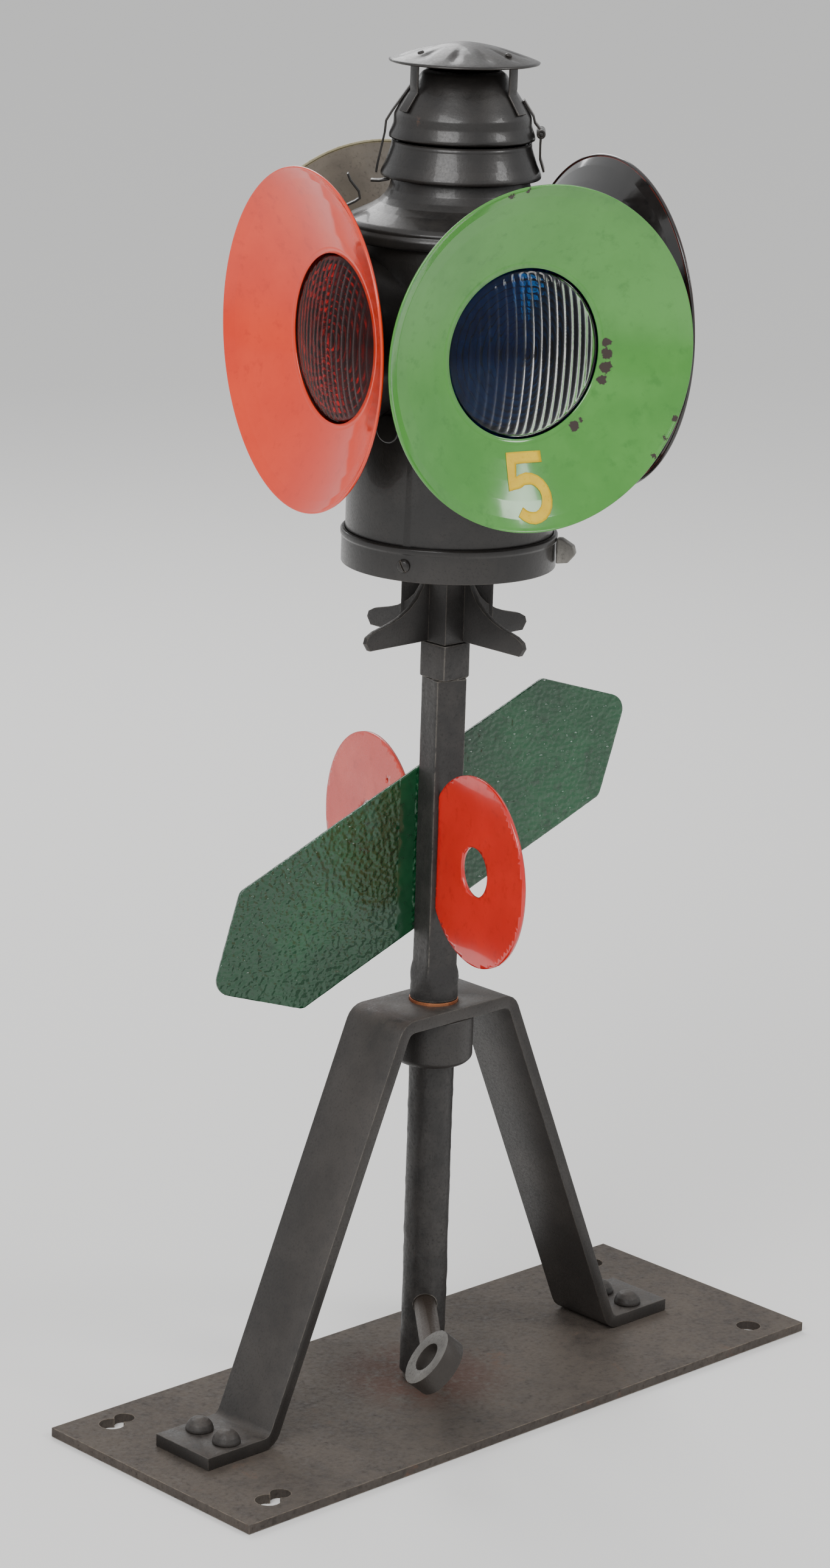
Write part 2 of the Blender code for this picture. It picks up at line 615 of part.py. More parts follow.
def make_base_ring(mats, lamp):
    bottom = RING_BOTTOM
    floor = bottom + RING_FLOOR_RISE
    top = bottom + RING_HEIGHT
    inner = BODY_RADIUS + REST_GAP
    outline = [(0.0, floor), (inner, floor), (inner, bottom), (RING_RADIUS, bottom),
               (RING_RADIUS, top), (RING_RADIUS + 0.0009, top + 0.0012),
               (RING_RADIUS + 0.0009, top + RING_BEAD - 0.0012), (RING_RADIUS - 0.0004, top + RING_BEAD),
               (inner, top + RING_BEAD), (inner, floor + FLOOR_THICK), (0.0, floor + FLOOR_THICK)]
    ring = turned("base_ring", outline, mats["lamp_black"], lamp)
    screw_cut(ring, lamp)
    head_seat = RING_RADIUS + REST_GAP - BODY_RADIUS
    half = SCREW_HEAD / 2
    screw = [(0.0, -0.0040), (SCREW_SHANK / 2, -0.0040), (SCREW_SHANK / 2, head_seat),
             (half, head_seat), (half * 0.92, head_seat + SCREW_HEAD_RISE * 0.5),
             (half * 0.6, head_seat + SCREW_HEAD_RISE * 0.88), (0.0, head_seat + SCREW_HEAD_RISE)]
    for n, azimuth in enumerate(SCREW_AZIMUTHS, start=1):
        turned(f"base_screw_{n}", screw, mats["lamp_black"], lamp,
               outward(azimuth, BODY_RADIUS, SCREW_HEIGHT), segments=16)
    start = RING_RADIUS + 0.0009 + REST_GAP
    middle = bottom + RING_HEIGHT * 0.68
    lug = [(start, middle - LUG_HEIGHT / 2), (start + 0.009, middle - LUG_HEIGHT / 2 + 0.001),
           (start + 0.0145, middle - 0.002), (start + 0.0130, middle + 0.004),
           (start + 0.004, middle + LUG_HEIGHT / 2), (start, middle + LUG_HEIGHT / 2)]
    prism("ring_lug", lug, 0.010, mats["bare_iron"], lamp, radial(LUG_AZIMUTH))


# ---------------------------------------------------------------- lamp body

def lens_azimuths():
    return {"blue_front": -pi / 2, "red_left": pi, "blue_rear": pi / 2, "red_right": 0.0}


def holder_slope():
    """Growth of the lens holder's radius with its distance from the lamp's axis."""
    seat = LENS_SEAT - LENS_EDGE - REST_GAP - 0.0015
    end = LENS_RADIUS + REST_GAP + HOLDER_LIP - 0.0008
    return seat, end, (end - HOLDER_START_RADIUS) / (seat - HOLDER_START)


def holder_outline():
    seat, end, _ = holder_slope()
    bore = LENS_RADIUS + REST_GAP
    stop = LENS_SEAT - LENS_EDGE - REST_GAP
    front = LENS_SEAT + 0.0012
    return [(HOLDER_START_RADIUS, HOLDER_START), (end, seat), (bore + HOLDER_LIP, stop),
            (bore + HOLDER_LIP, front), (bore, front), (bore, stop),
            (LENS_RADIUS - HOLDER_LIP, stop), (LENS_RADIUS - HOLDER_LIP, seat - 0.003),
            (HOLDER_START_RADIUS - HOLDER_WALL, HOLDER_START)]


def lens_outline():
    """Flat rim held in the holder, a dome that fits through the target's eye, a hollow back."""
    edge = LENS_SEAT - LENS_EDGE
    dome = TARGET_EYE - 2 * REST_GAP
    hollow = LENS_RADIUS - HOLDER_LIP
    front = [(dome * sin(radians(a)), LENS_SEAT + LENS_CROWN * cos(radians(a)))
             for a in (90, 66, 36, 0)]
    back = [(hollow * sin(radians(a)), edge + (LENS_CROWN - 0.004) * cos(radians(a)))
            for a in (0, 45, 90)]
    return [(LENS_RADIUS, edge), (LENS_RADIUS, LENS_SEAT)] + front + back


def target_outline():
    seat = LENS_SEAT + 0.0012 + REST_GAP + TARGET_SHEET / 2
    edge = LENS_RADIUS + REST_GAP + HOLDER_LIP
    path = [(TARGET_EYE, seat), (edge, seat), (TARGET_RADIUS - 0.003, TARGET_REACH - 0.0012),
            (TARGET_RADIUS - 0.0004, TARGET_REACH - TARGET_SHEET / 2)]
    return strip(path, TARGET_SHEET)


def peep_height():
    """Height of the peephole, just under the left lens holder where that meets the body."""
    offset = PEEP_AZIMUTH + pi
    aside = BODY_RADIUS * sin(offset)
    _, _, slope = holder_slope()
    holder = HOLDER_START_RADIUS + slope * (BODY_RADIUS * cos(offset) - HOLDER_START)
    reach = holder + PEEP_COVER / 2 + PEEP_GAP
    return LENS_HEIGHT - sqrt(reach ** 2 - aside ** 2)


def make_lenses(mats, lamp):
    for place_name, azimuth in lens_azimuths().items():
        colour = place_name.split("_")[0]
        enamel = "enamel_green" if colour == "blue" else "enamel_red"
        shade = "green" if colour == "blue" else "red"
        spot = place_name.split("_")[1]
        frame = outward(azimuth, 0.0, LENS_HEIGHT)
        turned("lens_holder_" + spot, holder_outline(), mats["lamp_black"], lamp, frame, SEGMENTS_LENS)
        turned("lens_" + place_name, lens_outline(), mats["glass_" + colour], lamp, frame, SEGMENTS_LENS)
        turned(f"day_target_{shade}_{spot}", target_outline(), mats[enamel], lamp, frame)


def make_body(mats, lamp):
    bottom = RING_BOTTOM + RING_FLOOR_RISE + FLOOR_THICK + REST_GAP
    inner = BODY_RADIUS - LAMP_WALL
    body = turned("lamp_body", [(inner, bottom), (BODY_RADIUS, bottom), (BODY_RADIUS, BODY_TOP),
                                (inner, BODY_TOP)], mats["lamp_black"], lamp)
    _, _, slope = holder_slope()
    for azimuth in lens_azimuths().values():
        first = 0.030
        last = BODY_RADIUS + 0.010
        at_first = HOLDER_START_RADIUS + REST_GAP * 1.5 + slope * (first - HOLDER_START)
        at_last = HOLDER_START_RADIUS + REST_GAP * 1.5 + slope * (last - HOLDER_START)
        cone = [(0.0, first), (at_first, first), (at_last, last), (0.0, last)]
        cut(body, turned("lens_opening_cutter", cone, None, lamp,
                         outward(azimuth, 0.0, LENS_HEIGHT), SEGMENTS_LENS))
    screw_cut(body, lamp)
    cut(body, rod("peephole_cutter", PEEP_HOLE / 2, 0.06, 0.09, None, lamp,
                  outward(PEEP_AZIMUTH, 0.0, peep_height()), 12))
    cover = [(0.0, 0.0), (PEEP_COVER / 2, 0.0), (PEEP_COVER / 2, 0.0012), (PEEP_COVER / 2 - 0.001, 0.0018),
             (0.0, 0.0018)]
    turned("peephole_cover", cover, mats["lamp_black"], lamp,
           outward(PEEP_AZIMUTH, BODY_RADIUS + 2 * REST_GAP, peep_height()), segments=20)


def make_shoulder(mats, lamp):
    seat = BODY_TOP + REST_GAP + LAMP_WALL / 2
    wide = SHOULDER_RADIUS - LAMP_WALL / 2
    neck = NECK_RADIUS - LAMP_WALL / 2
    inner_neck = BAND_TOP_RADIUS - LAMP_WALL - 0.0006 - LAMP_WALL / 2
    path = [(BODY_RADIUS - LAMP_WALL / 2, seat), (wide, seat), (wide, seat + SHOULDER_EDGE),
            (wide - 0.0045, SHOULDER_CREST - 0.0015), (wide - 0.0190, SHOULDER_CREST + 0.0058),
            (neck + 0.0056, NECK_START - 0.0070), (neck, NECK_START + 0.0030),
            (inner_neck, BAND_BOTTOM + 0.004), (inner_neck, NECK_TOP)]
    turned("shoulder", strip(path, LAMP_WALL), mats["lamp_black"], lamp, sharp=50)
    high = BAND_TOP - 0.0001
    band = [(BAND_RADIUS - LAMP_WALL / 2, BAND_BOTTOM),
            (BAND_RADIUS - LAMP_WALL / 2 - 0.0006, BAND_BOTTOM + 0.004),
            (BAND_TOP_RADIUS - LAMP_WALL / 2 + 0.0014, high - 0.006),
            (BAND_TOP_RADIUS - LAMP_WALL / 2, high - 0.001)]
    turned("neck_band", strip(band, LAMP_WALL), mats["lamp_black"], lamp, sharp=50)


# ---------------------------------------------------------------- lid

def hood_slope():
    return (HOOD_RADIUS - HOOD_TOP_RADIUS) / (HOOD_TOP - HOOD_SKIRT_TOP)


def cone_radius(height):
    """Outer radius of the hood's cone at a height."""
    return HOOD_RADIUS - hood_slope() * (height - HOOD_SKIRT_TOP)


def cap_height(radius):
    """Height of the rain cap's middle surface at a radius."""
    share = 1.0 - (radius / CAP_RADIUS) ** 1.6
    return CAP_RIM + CAP_RISE * share


def make_hood(mats, lid):
    half = LAMP_WALL / 2
    path = [(HOOD_BEAD_RADIUS - half, HOOD_BOTTOM), (HOOD_BEAD_RADIUS - half - 0.0004, HOOD_BOTTOM + 0.0035),
            (HOOD_RADIUS - half + 0.0004, HOOD_BOTTOM + 0.0100), (HOOD_RADIUS - half, HOOD_SKIRT_TOP),
            (HOOD_TOP_RADIUS - half, HOOD_TOP), (HOOD_TOP_RADIUS - half - 0.0030, HOOD_TOP + 0.0016)]
    turned("hood", strip(path, LAMP_WALL), mats["lamp_black"], lid, sharp=50)


def make_cap(mats, lid):
    radii = [CAP_RADIUS - 0.0002, 0.046, 0.030, 0.014]
    top = [(r, cap_height(r) + 0.0006) for r in radii]
    under = [(r, cap_height(r) - 0.0006) for r in radii[::-1]]
    outline = top + [(0.0, cap_height(0.0) + 0.0006), (0.0, cap_height(0.0) - 0.0006)] + under
    turned("rain_cap", outline, mats["lamp_black"], lid, sharp=50)


def make_straps(mats, lid):
    offset = STRAP_THICK / 2 + 0.0008
    low = HOOD_SKIRT_TOP + STRAP_LOW
    bend = HOOD_SKIRT_TOP + STRAP_BEND
    touch = 0.0415
    flange = cap_height(touch) - 0.0006 - offset - 0.0002
    inner = 0.0330
    path = [(cone_radius(low) + offset, low), (cone_radius(bend) + offset, bend),
            (cone_radius(bend) + offset + 0.0006, bend + 0.005), (touch, flange),
            (inner, cap_height(inner) - 0.0006 - offset - 0.0006)]
    for n, azimuth in enumerate(STRAP_AZIMUTHS, start=1):
        prism(f"cap_strap_{n}", strip(path, STRAP_THICK), STRAP_WIDTH, mats["lamp_black"], lid,
              radial(azimuth), sharp=20)


def hinge_leaf(name, path, widths, parent, mats):
    """Leaf: a bent strip ending in barrels round the pin, of the given (start, end) widths."""
    barrel = [(HINGE_RADIUS + x, HINGE_HEIGHT + z)
              for x, z in arc((0.0, 0.0), HINGE_BARREL / 2, 0, 337.5, 15)]
    full = HINGE_WIDTH if len(widths) > 1 else widths[0][1] - widths[0][0]
    frame = radial(HINGE_AZIMUTH)
    leaf = prism(name, strip(path, STRAP_THICK), full, mats["lamp_black"], parent, frame)
    for start, end in widths:
        shift = frame @ Matrix.Translation((0, (start + end) / 2, 0))
        join(leaf, prism(name + "_barrel_blank", barrel, end - start, None, parent, shift))
    if len(widths) > 1:
        gap = widths[1][0] - widths[0][1]
        cut(leaf, box(name + "_notch_cutter", (0.0120, gap, 0.0110),
                      (HINGE_RADIUS, 0, HINGE_HEIGHT), None, parent, frame))
    pin = frame @ Matrix.Translation((HINGE_RADIUS, 0, HINGE_HEIGHT)) @ Matrix.Rotation(pi / 2, 4, "X")
    cut(leaf, rod(name + "_pin_cutter", HINGE_PIN / 2 + REST_GAP, -0.03, 0.03, None, parent, pin, 16))
    return leaf


def make_hinge(mats, lamp, lid):
    half = HINGE_WIDTH / 2
    middle = HINGE_MIDDLE / 2
    gap = REST_GAP * 1.5
    band_out = BAND_RADIUS + STRAP_THICK / 2 + 0.0006
    lower = [(band_out, BAND_BOTTOM + 0.006), (band_out - 0.0030, BAND_BOTTOM + 0.015),
             (band_out - 0.0032, HOOD_BOTTOM - 0.001), (HINGE_RADIUS, HINGE_HEIGHT - 0.0025)]
    hinge_leaf("hinge_leaf_lower", lower, [(-half, -middle - gap), (middle + gap, half)], lamp, mats)
    offset = STRAP_THICK / 2 + 0.0006
    end = HOOD_SKIRT_TOP + LEAF_END
    upper = [(HINGE_RADIUS - 0.0006, HINGE_HEIGHT + 0.0025),
             (HOOD_RADIUS + offset + 0.0010, HOOD_SKIRT_TOP - 0.004),
             (HOOD_RADIUS + offset - 0.0002, HOOD_SKIRT_TOP + 0.0006),
             (cone_radius(end) + offset, end)]
    hinge_leaf("hinge_leaf_upper", upper, [(-middle, middle)], lid, mats)
    pin = (radial(HINGE_AZIMUTH) @ Matrix.Translation((HINGE_RADIUS, 0, HINGE_HEIGHT))
           @ Matrix.Rotation(pi / 2, 4, "X"))
    rod("hinge_pin", HINGE_PIN / 2, -half - 0.001, half + 0.001, mats["lamp_black"], lamp, pin, 16)


def make_hasp(mats, lamp, lid):
    """Strap from the hood's cone down past the band, and the staple under it."""
    offset = STRAP_THICK / 2 + 0.0006
    azimuth = HINGE_AZIMUTH + pi
    end = HOOD_SKIRT_TOP + HASP_END
    path = [(cone_radius(end) + offset, end),
            (HOOD_RADIUS + offset - 0.0002, HOOD_SKIRT_TOP + 0.0012),
            (HOOD_RADIUS + offset + 0.0040, HOOD_SKIRT_TOP - 0.0060),
            (HOOD_BEAD_RADIUS + offset + 0.0016, HOOD_BOTTOM + 0.003),
            (BAND_RADIUS + offset + 0.0010, BAND_BOTTOM + 0.006),
            (BAND_RADIUS + offset + 0.0016, BAND_BOTTOM + 0.001)]
    prism("hasp", strip(path, STRAP_THICK), HASP_WIDTH, mats["lamp_black"], lid, radial(azimuth), sharp=20)
    low = BAND_BOTTOM - 0.0054
    staple = [(NECK_RADIUS + 0.0004, low + 0.0016), (BAND_RADIUS + 0.0005, low),
              (BAND_RADIUS + 0.0070, low)]
    prism("hasp_staple", strip(staple, 0.0018), 0.0090, mats["lamp_black"], lamp, radial(azimuth), sharp=20)


def make_catch(mats, lamp):
    """Bent lever on the shoulder."""
    bends = [(0.0020, -0.0055), (0.0015, 0.0020), (-0.0020, 0.0055), (-0.0090, 0.0090),
             (-0.0125, 0.0115), (-0.0115, 0.0165), (-0.0050, 0.0245), (-0.0030, 0.0295)]
    path = [(SHOULDER_RADIUS + out, SHOULDER_CREST + up) for out, up in bends]
    prism("catch_lever", strip(path, 0.0016), 0.0080, mats["lamp_black"], lamp,
          radial(CATCH_AZIMUTH), sharp=20)


# ---------------------------------------------------------------- oil fount

def make_fount(mats, lamp):
    bottom = RING_BOTTOM + RING_FLOOR_RISE + FLOOR_THICK + REST_GAP
    top = bottom + FOUNT_HEIGHT
    neck = BURNER_NECK + REST_GAP
    wall = FOUNT_WALL
    fount = [(0.0, bottom), (FOUNT_RADIUS - 0.002, bottom), (FOUNT_RADIUS, bottom + 0.002),
             (FOUNT_RADIUS, top - 0.004), (FOUNT_RADIUS - 0.004, top), (neck, top), (neck, top - wall),
             (FOUNT_RADIUS - 0.005, top - wall), (FOUNT_RADIUS - wall, top - 0.005),
             (FOUNT_RADIUS - wall, bottom + wall), (0.0, bottom + wall)]
    turned("oil_fount", fount, mats["brass"], lamp, segments=24)
    seat = top + REST_GAP
    tube = WICK_RADIUS + RUN_GAP
    burner = [(tube, top - 0.012), (BURNER_NECK, top - 0.012), (BURNER_NECK, seat),
              (BURNER_NECK + 0.004, seat), (BURNER_NECK + 0.004, seat + 0.005),
              (BURNER_NECK - 0.001, seat + 0.014), (BURNER_NECK - 0.001, seat + 0.022),
              (0.0065, seat + 0.030), (tube + 0.0014, seat + BURNER_RISE), (tube, seat + BURNER_RISE)]
    burner_body = turned("burner", burner, mats["brass"], lamp, segments=20)
    knob_height = seat + 0.018
    frame = outward(0.0, 0.0, knob_height)
    cut(burner_body, rod("knob_shaft_cutter", 0.0020 + REST_GAP, 0.0, 0.03, None, lamp, frame, 12))
    rod("wick", WICK_RADIUS, bottom + 0.006, seat + BURNER_RISE + 0.003, mats["wick_cotton"], lamp,
        segments=16)
    knob = [(0.0, 0.0048), (0.0020, 0.0048), (0.0020, KNOB_REACH - 0.004), (KNOB_RADIUS, KNOB_REACH - 0.004),
            (KNOB_RADIUS, KNOB_REACH), (0.0, KNOB_REACH)]
    turned("wick_knob", knob, mats["brass"], lamp, frame, segments=16)
    cap_place = Matrix.Translation((0.0, -0.0280, 0.0))
    rod("filler_cap", FILLER_RADIUS, seat, seat + 0.008, mats["brass"], lamp, cap_place, 20)


# ---------------------------------------------------------------- assembly

def main():
    clear_scene()
    mats = make_materials()
    make_base_plate(mats)
    make_yoke(mats)
    make_foot_rivets(mats)
    make_bearing(mats)
    turn = empty("spindle_turn_axis", rotation=(0, 0, SPINDLE_TURN))
    make_spindle(mats, turn)
    make_crank(mats, turn)
    make_vanes(mats, turn)
    lamp = empty("lamp_frame", parent=turn)
    make_socket(mats, lamp)
    make_base_ring(mats, lamp)
    make_body(mats, lamp)
    make_lenses(mats, lamp)
    make_shoulder(mats, lamp)
    lid = empty("lid_frame", parent=lamp)
    make_hood(mats, lid)
    make_cap(mats, lid)
    make_straps(mats, lid)
    make_hinge(mats, lamp, lid)
    make_hasp(mats, lamp, lid)
    make_catch(mats, lamp)
    make_fount(mats, lamp)


main()
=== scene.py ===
"""Low railway switch stand with target vanes and a four-lens lamp: surfaces and fine detail."""
import json
from math import atan2, cos, pi, radians, sin, sqrt

import bmesh
import bpy
from mathutils import Matrix, Vector, noise


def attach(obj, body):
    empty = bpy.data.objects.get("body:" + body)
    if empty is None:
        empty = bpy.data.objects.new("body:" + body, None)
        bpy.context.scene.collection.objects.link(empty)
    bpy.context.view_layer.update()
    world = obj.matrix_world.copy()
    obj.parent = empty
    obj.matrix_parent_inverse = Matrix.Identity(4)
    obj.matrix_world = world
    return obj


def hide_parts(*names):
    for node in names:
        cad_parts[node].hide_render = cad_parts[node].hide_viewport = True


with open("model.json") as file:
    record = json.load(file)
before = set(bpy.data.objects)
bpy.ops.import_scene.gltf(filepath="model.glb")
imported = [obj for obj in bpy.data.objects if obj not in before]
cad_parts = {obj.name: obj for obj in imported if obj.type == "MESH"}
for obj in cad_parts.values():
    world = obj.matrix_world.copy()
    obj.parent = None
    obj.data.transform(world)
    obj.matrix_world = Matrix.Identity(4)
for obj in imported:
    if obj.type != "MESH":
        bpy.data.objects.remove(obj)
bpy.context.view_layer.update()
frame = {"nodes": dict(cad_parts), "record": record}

# ---------------------------------------------------------------- sizes shared with the solids
TURN_ANGLE = radians(-15.0)                # spindle and lamp stand turned on the base
TURN = Matrix.Rotation(TURN_ANGLE, 4, "Z")
ROUND_RADIUS = 0.0176                      # the spindle's round lower part
COLLAR_RADIUS = 0.0186
SQUARE_HALF = 0.0131                       # half the side of its square bar
BLOCK_HALF = 0.01375
VANE_HEIGHT = 0.4450
BOARD_TILT = radians(-29)
DISC_RADIUS = 0.0735
DISC_FLAT = 0.058                          # from a disc's middle to its straight edge
DISC_EYE_RADIUS = 0.01925
RING_BOTTOM = 0.6696
BODY_TOP = 0.9148
BODY_RADIUS = 0.0785
RING_RADIUS = 0.0812
CAP_RADIUS = 0.0565
CAP_RIM = 1.0445
CAP_RISE = 0.0140
LENS_HEIGHT = 0.8450
LENS_SEAT = 0.1000
GLASS_RADIUS = 0.0619
GLASS_CROWN = 0.0125
FLUTE_PITCH = 0.0070
FLUTE_DEPTH = 0.0009
RING_PITCH = 0.0050                        # stepped rings on the back of each lens
RING_STEP = 0.0018
SCREW_HEIGHT = 0.6814
SCREW_AZIMUTH = -143.2
SCREW_BORE = 0.0027
PEEP_HEIGHT = 0.7816
PEEP_AZIMUTH = radians(-156)
HOLDER_START = BODY_RADIUS / sqrt(2) - 0.0005
TARGET_FACE = [(0.0672, 0.1022), (0.0780, 0.1062), (0.0920, 0.1121), (0.1060, 0.1184), (0.1180, 0.1247),
               (0.1240, 0.1288)]           # radius and height of a day target's dish
RIM_RADIUS = 0.1245                        # a day target's curled rim lies beyond this
RIM_BACK = 0.1304
WALL = 0.0016
CRANK = radians(-115.3)
EYE_HEIGHT = 0.074
EYE_NORMAL = (-0.669, 0.385, 0.637)
FACINGS = {"front": -pi / 2, "left": pi, "rear": pi / 2, "right": 0.0}
BODY_OF = {node: body for body, nodes in frame["record"]["behaviour"]["bodies"].items()
           for node in nodes}

# ---------------------------------------------------------------- materials


def shade(code):
    """sRGB hex to linear colour with full alpha."""
    parts = [int(code[n:n + 2], 16) / 255 for n in (0, 2, 4)]
    return tuple(c / 12.92 if c <= 0.04045 else ((c + 0.055) / 1.055) ** 2.4 for c in parts) + (1.0,)


def add(tree, kind, values=(), links=(), **settings):
    """Adds a node with its settings, socket values and incoming links."""
    made = tree.nodes.new("ShaderNode" + kind)
    for key, value in settings.items():
        setattr(made, key, value)
    for key, value in dict(values).items():
        made.inputs[key].default_value = value
    for key, source in dict(links).items():
        tree.links.new(source, made.inputs[key])
    return made


def per_mm(size):
    """Noise scale that repeats about once in so many millimetres."""
    return 1000.0 / size


def grain(tree, coord, size, detail=4.0, rough=0.55):
    return add(tree, "TexNoise", {"Scale": per_mm(size), "Detail": detail, "Roughness": rough},
               {"Vector": coord}).outputs["Fac"]


def step(tree, value, low, high, top=1.0):
    """Smooth step of a value from 0 at low to top at high."""
    return add(tree, "MapRange", {"From Min": low, "From Max": high, "To Max": top},
               {"Value": value}, interpolation_type="SMOOTHSTEP").outputs["Result"]


def times(tree, first, second):
    return add(tree, "Math", (), {0: first, 1: second}, operation="MULTIPLY").outputs[0]


def blend_colour(tree, share, first, second):
    """Mix of two colours, each a hex code or a socket."""
    made = add(tree, "Mix", (), {0: share}, data_type="RGBA")
    for index, colour in ((6, first), (7, second)):
        if isinstance(colour, str):
            made.inputs[index].default_value = shade(colour)
        else:
            tree.links.new(colour, made.inputs[index])
    return made.outputs[2]


def worn_edges(tree, radius, noise_out, level=0.36):
    """Mask along outside edges, broken up by a noise."""
    soft = add(tree, "Bevel", {"Radius": radius}, samples=4).outputs["Normal"]
    flat = add(tree, "NewGeometry").outputs["Normal"]
    dot = add(tree, "VectorMath", (), {0: soft, 1: flat}, operation="DOT_PRODUCT").outputs["Value"]
    away = add(tree, "Math", {0: 1.0}, {1: dot}, operation="SUBTRACT").outputs[0]
    return times(tree, step(tree, away, 0.02, 0.16), step(tree, noise_out, level, level + 0.20))


def finish_of(name, base, light, dark, rough=0.5, metal=0.0, patch=40.0, fleck=3.0, relief=0.0002,
              relief_size=2.0, coat=0.0, wear=None, wear_radius=0.0012, dust=None, dust_top=0.6,
              rust=None, rust_level=0.62, scratch=0.0, metal_wear=0.6, relief_detail=4.0, stain=None,
              wear_level=0.36):
    """A coated or bare metal. base, light and dark are hex colours; patch, fleck and relief_size are
    in millimetres and relief is a depth in metres."""
    mat = bpy.data.materials.new(name)
    mat.use_nodes = True
    tree = mat.node_tree
    shader = tree.nodes["Principled BSDF"]
    place = add(tree, "TexCoord")
    coord = place.outputs["Object"]
    broad = grain(tree, coord, patch, 5.0, 0.6)
    fine = grain(tree, coord, fleck, 5.0, 0.65)
    colour = blend_colour(tree, step(tree, broad, 0.38, 0.66), base, light)
    colour = blend_colour(tree, step(tree, fine, 0.52, 0.74, 0.8), colour, dark)
    gloss = add(tree, "MapRange", {"From Min": 0.3, "From Max": 0.7, "To Min": rough * 0.8,
                                   "To Max": min(1.0, rough * 1.25)}, {"Value": fine}).outputs["Result"]
    metallic = None
    if rust:
        spots = times(tree, step(tree, grain(tree, coord, patch * 0.6, 8.0, 0.7), rust_level,
                                 rust_level + 0.09), step(tree, fine, 0.30, 0.55))
        colour = blend_colour(tree, spots, colour, rust)
        gloss = add(tree, "Mix", {3: 0.9}, {0: spots, 2: gloss}).outputs[0]
    if dust:
        up = add(tree, "SeparateXYZ", (), {0: place.outputs["Normal"]}).outputs["Z"]
        settled = times(tree, step(tree, up, 0.25, 0.95, dust_top),
                        step(tree, grain(tree, coord, 12.0, 6.0, 0.7), 0.30, 0.62))
        colour = blend_colour(tree, settled, colour, dust)
        gloss = add(tree, "Mix", {3: 0.85}, {0: settled, 2: gloss}).outputs[0]
    if wear:
        rubbed = worn_edges(tree, wear_radius, grain(tree, coord, 9.0, 7.0, 0.7), wear_level)
        colour = blend_colour(tree, rubbed, colour, wear)
        metallic = add(tree, "MapRange", {"To Min": metal, "To Max": metal_wear},
                       {"Value": rubbed}).outputs["Result"]
    if stain:
        flat = add(tree, "VectorMath", {1: (1.0, 1.0, 0.0)}, {0: coord}, operation="MULTIPLY").outputs[0]
        away = add(tree, "VectorMath", (), {0: flat}, operation="LENGTH").outputs["Value"]
        ragged = step(tree, grain(tree, coord, 16.0, 6.0, 0.7), 0.34, 0.56)
        near = times(tree, step(tree, away, 0.085, 0.028), ragged)
        colour = blend_colour(tree, near, colour, stain)
    height = grain(tree, coord, relief_size, relief_detail, 0.6)
    if scratch:
        lines = add(tree, "Mapping", {"Rotation": (0.5, 0.3, 0.9), "Scale": (1.0, 1.0, 0.04)}, {0: coord})
        scored = step(tree, grain(tree, lines.outputs[0], 0.9, 2.0, 0.5), 0.62, 0.70, scratch)
        height = add(tree, "Math", (), {0: height, 1: scored}, operation="SUBTRACT").outputs[0]
    bump = add(tree, "Bump", {"Strength": 1.0, "Distance": relief}, {"Height": height})
    tree.links.new(colour, shader.inputs["Base Color"])
    tree.links.new(gloss, shader.inputs["Roughness"])
    tree.links.new(bump.outputs["Normal"], shader.inputs["Normal"])
    shader.inputs["Metallic"].default_value = metal
    if metallic is not None:
        tree.links.new(metallic, shader.inputs["Metallic"])
    if coat:
        shader.inputs["Coat Weight"].default_value = coat
        shader.inputs["Coat Roughness"].default_value = 0.06
    return mat


def pressed_glass(name, colour, deep):
    """Pressed signal glass: clear and strongly coloured, with faint seeds and flow in it."""
    mat = bpy.data.materials.new(name)
    mat.use_nodes = True
    tree = mat.node_tree
    shader = tree.nodes["Principled BSDF"]
    coord = add(tree, "TexCoord").outputs["Object"]
    flow = grain(tree, coord, 14.0, 4.0, 0.6)
    tint = blend_colour(tree, step(tree, flow, 0.35, 0.65), colour, deep)
    tree.links.new(tint, shader.inputs["Base Color"])
    bump = add(tree, "Bump", {"Distance": 0.00006}, {"Height": grain(tree, coord, 2.5, 3.0)})
    tree.links.new(bump.outputs["Normal"], shader.inputs["Normal"])
    shader.inputs["Transmission Weight"].default_value = 1.0
    shader.inputs["Roughness"].default_value = 0.07
    # real signal glass is near 1.52: a lower index keeps the thick lens dark under pale lights
    shader.inputs["IOR"].default_value = 1.30
    shader.inputs["Specular IOR Level"].default_value = 0.12
    return mat


def calm_strip(mat, axis, low, high):
    """Flattens a finish's relief in a band across an axis."""
    tree = mat.node_tree
    bump = next(node for node in tree.nodes if node.bl_idname == "ShaderNodeBump")
    coord = add(tree, "TexCoord").outputs["Object"]
    along = add(tree, "VectorMath", {1: axis}, {0: coord}, operation="DOT_PRODUCT").outputs["Value"]
    inside = times(tree, step(tree, along, low - 0.001, low), step(tree, along, high + 0.001, high))
    left = add(tree, "Math", {0: 1.0}, {1: inside}, operation="SUBTRACT").outputs[0]
    tree.links.new(left, bump.inputs["Strength"])


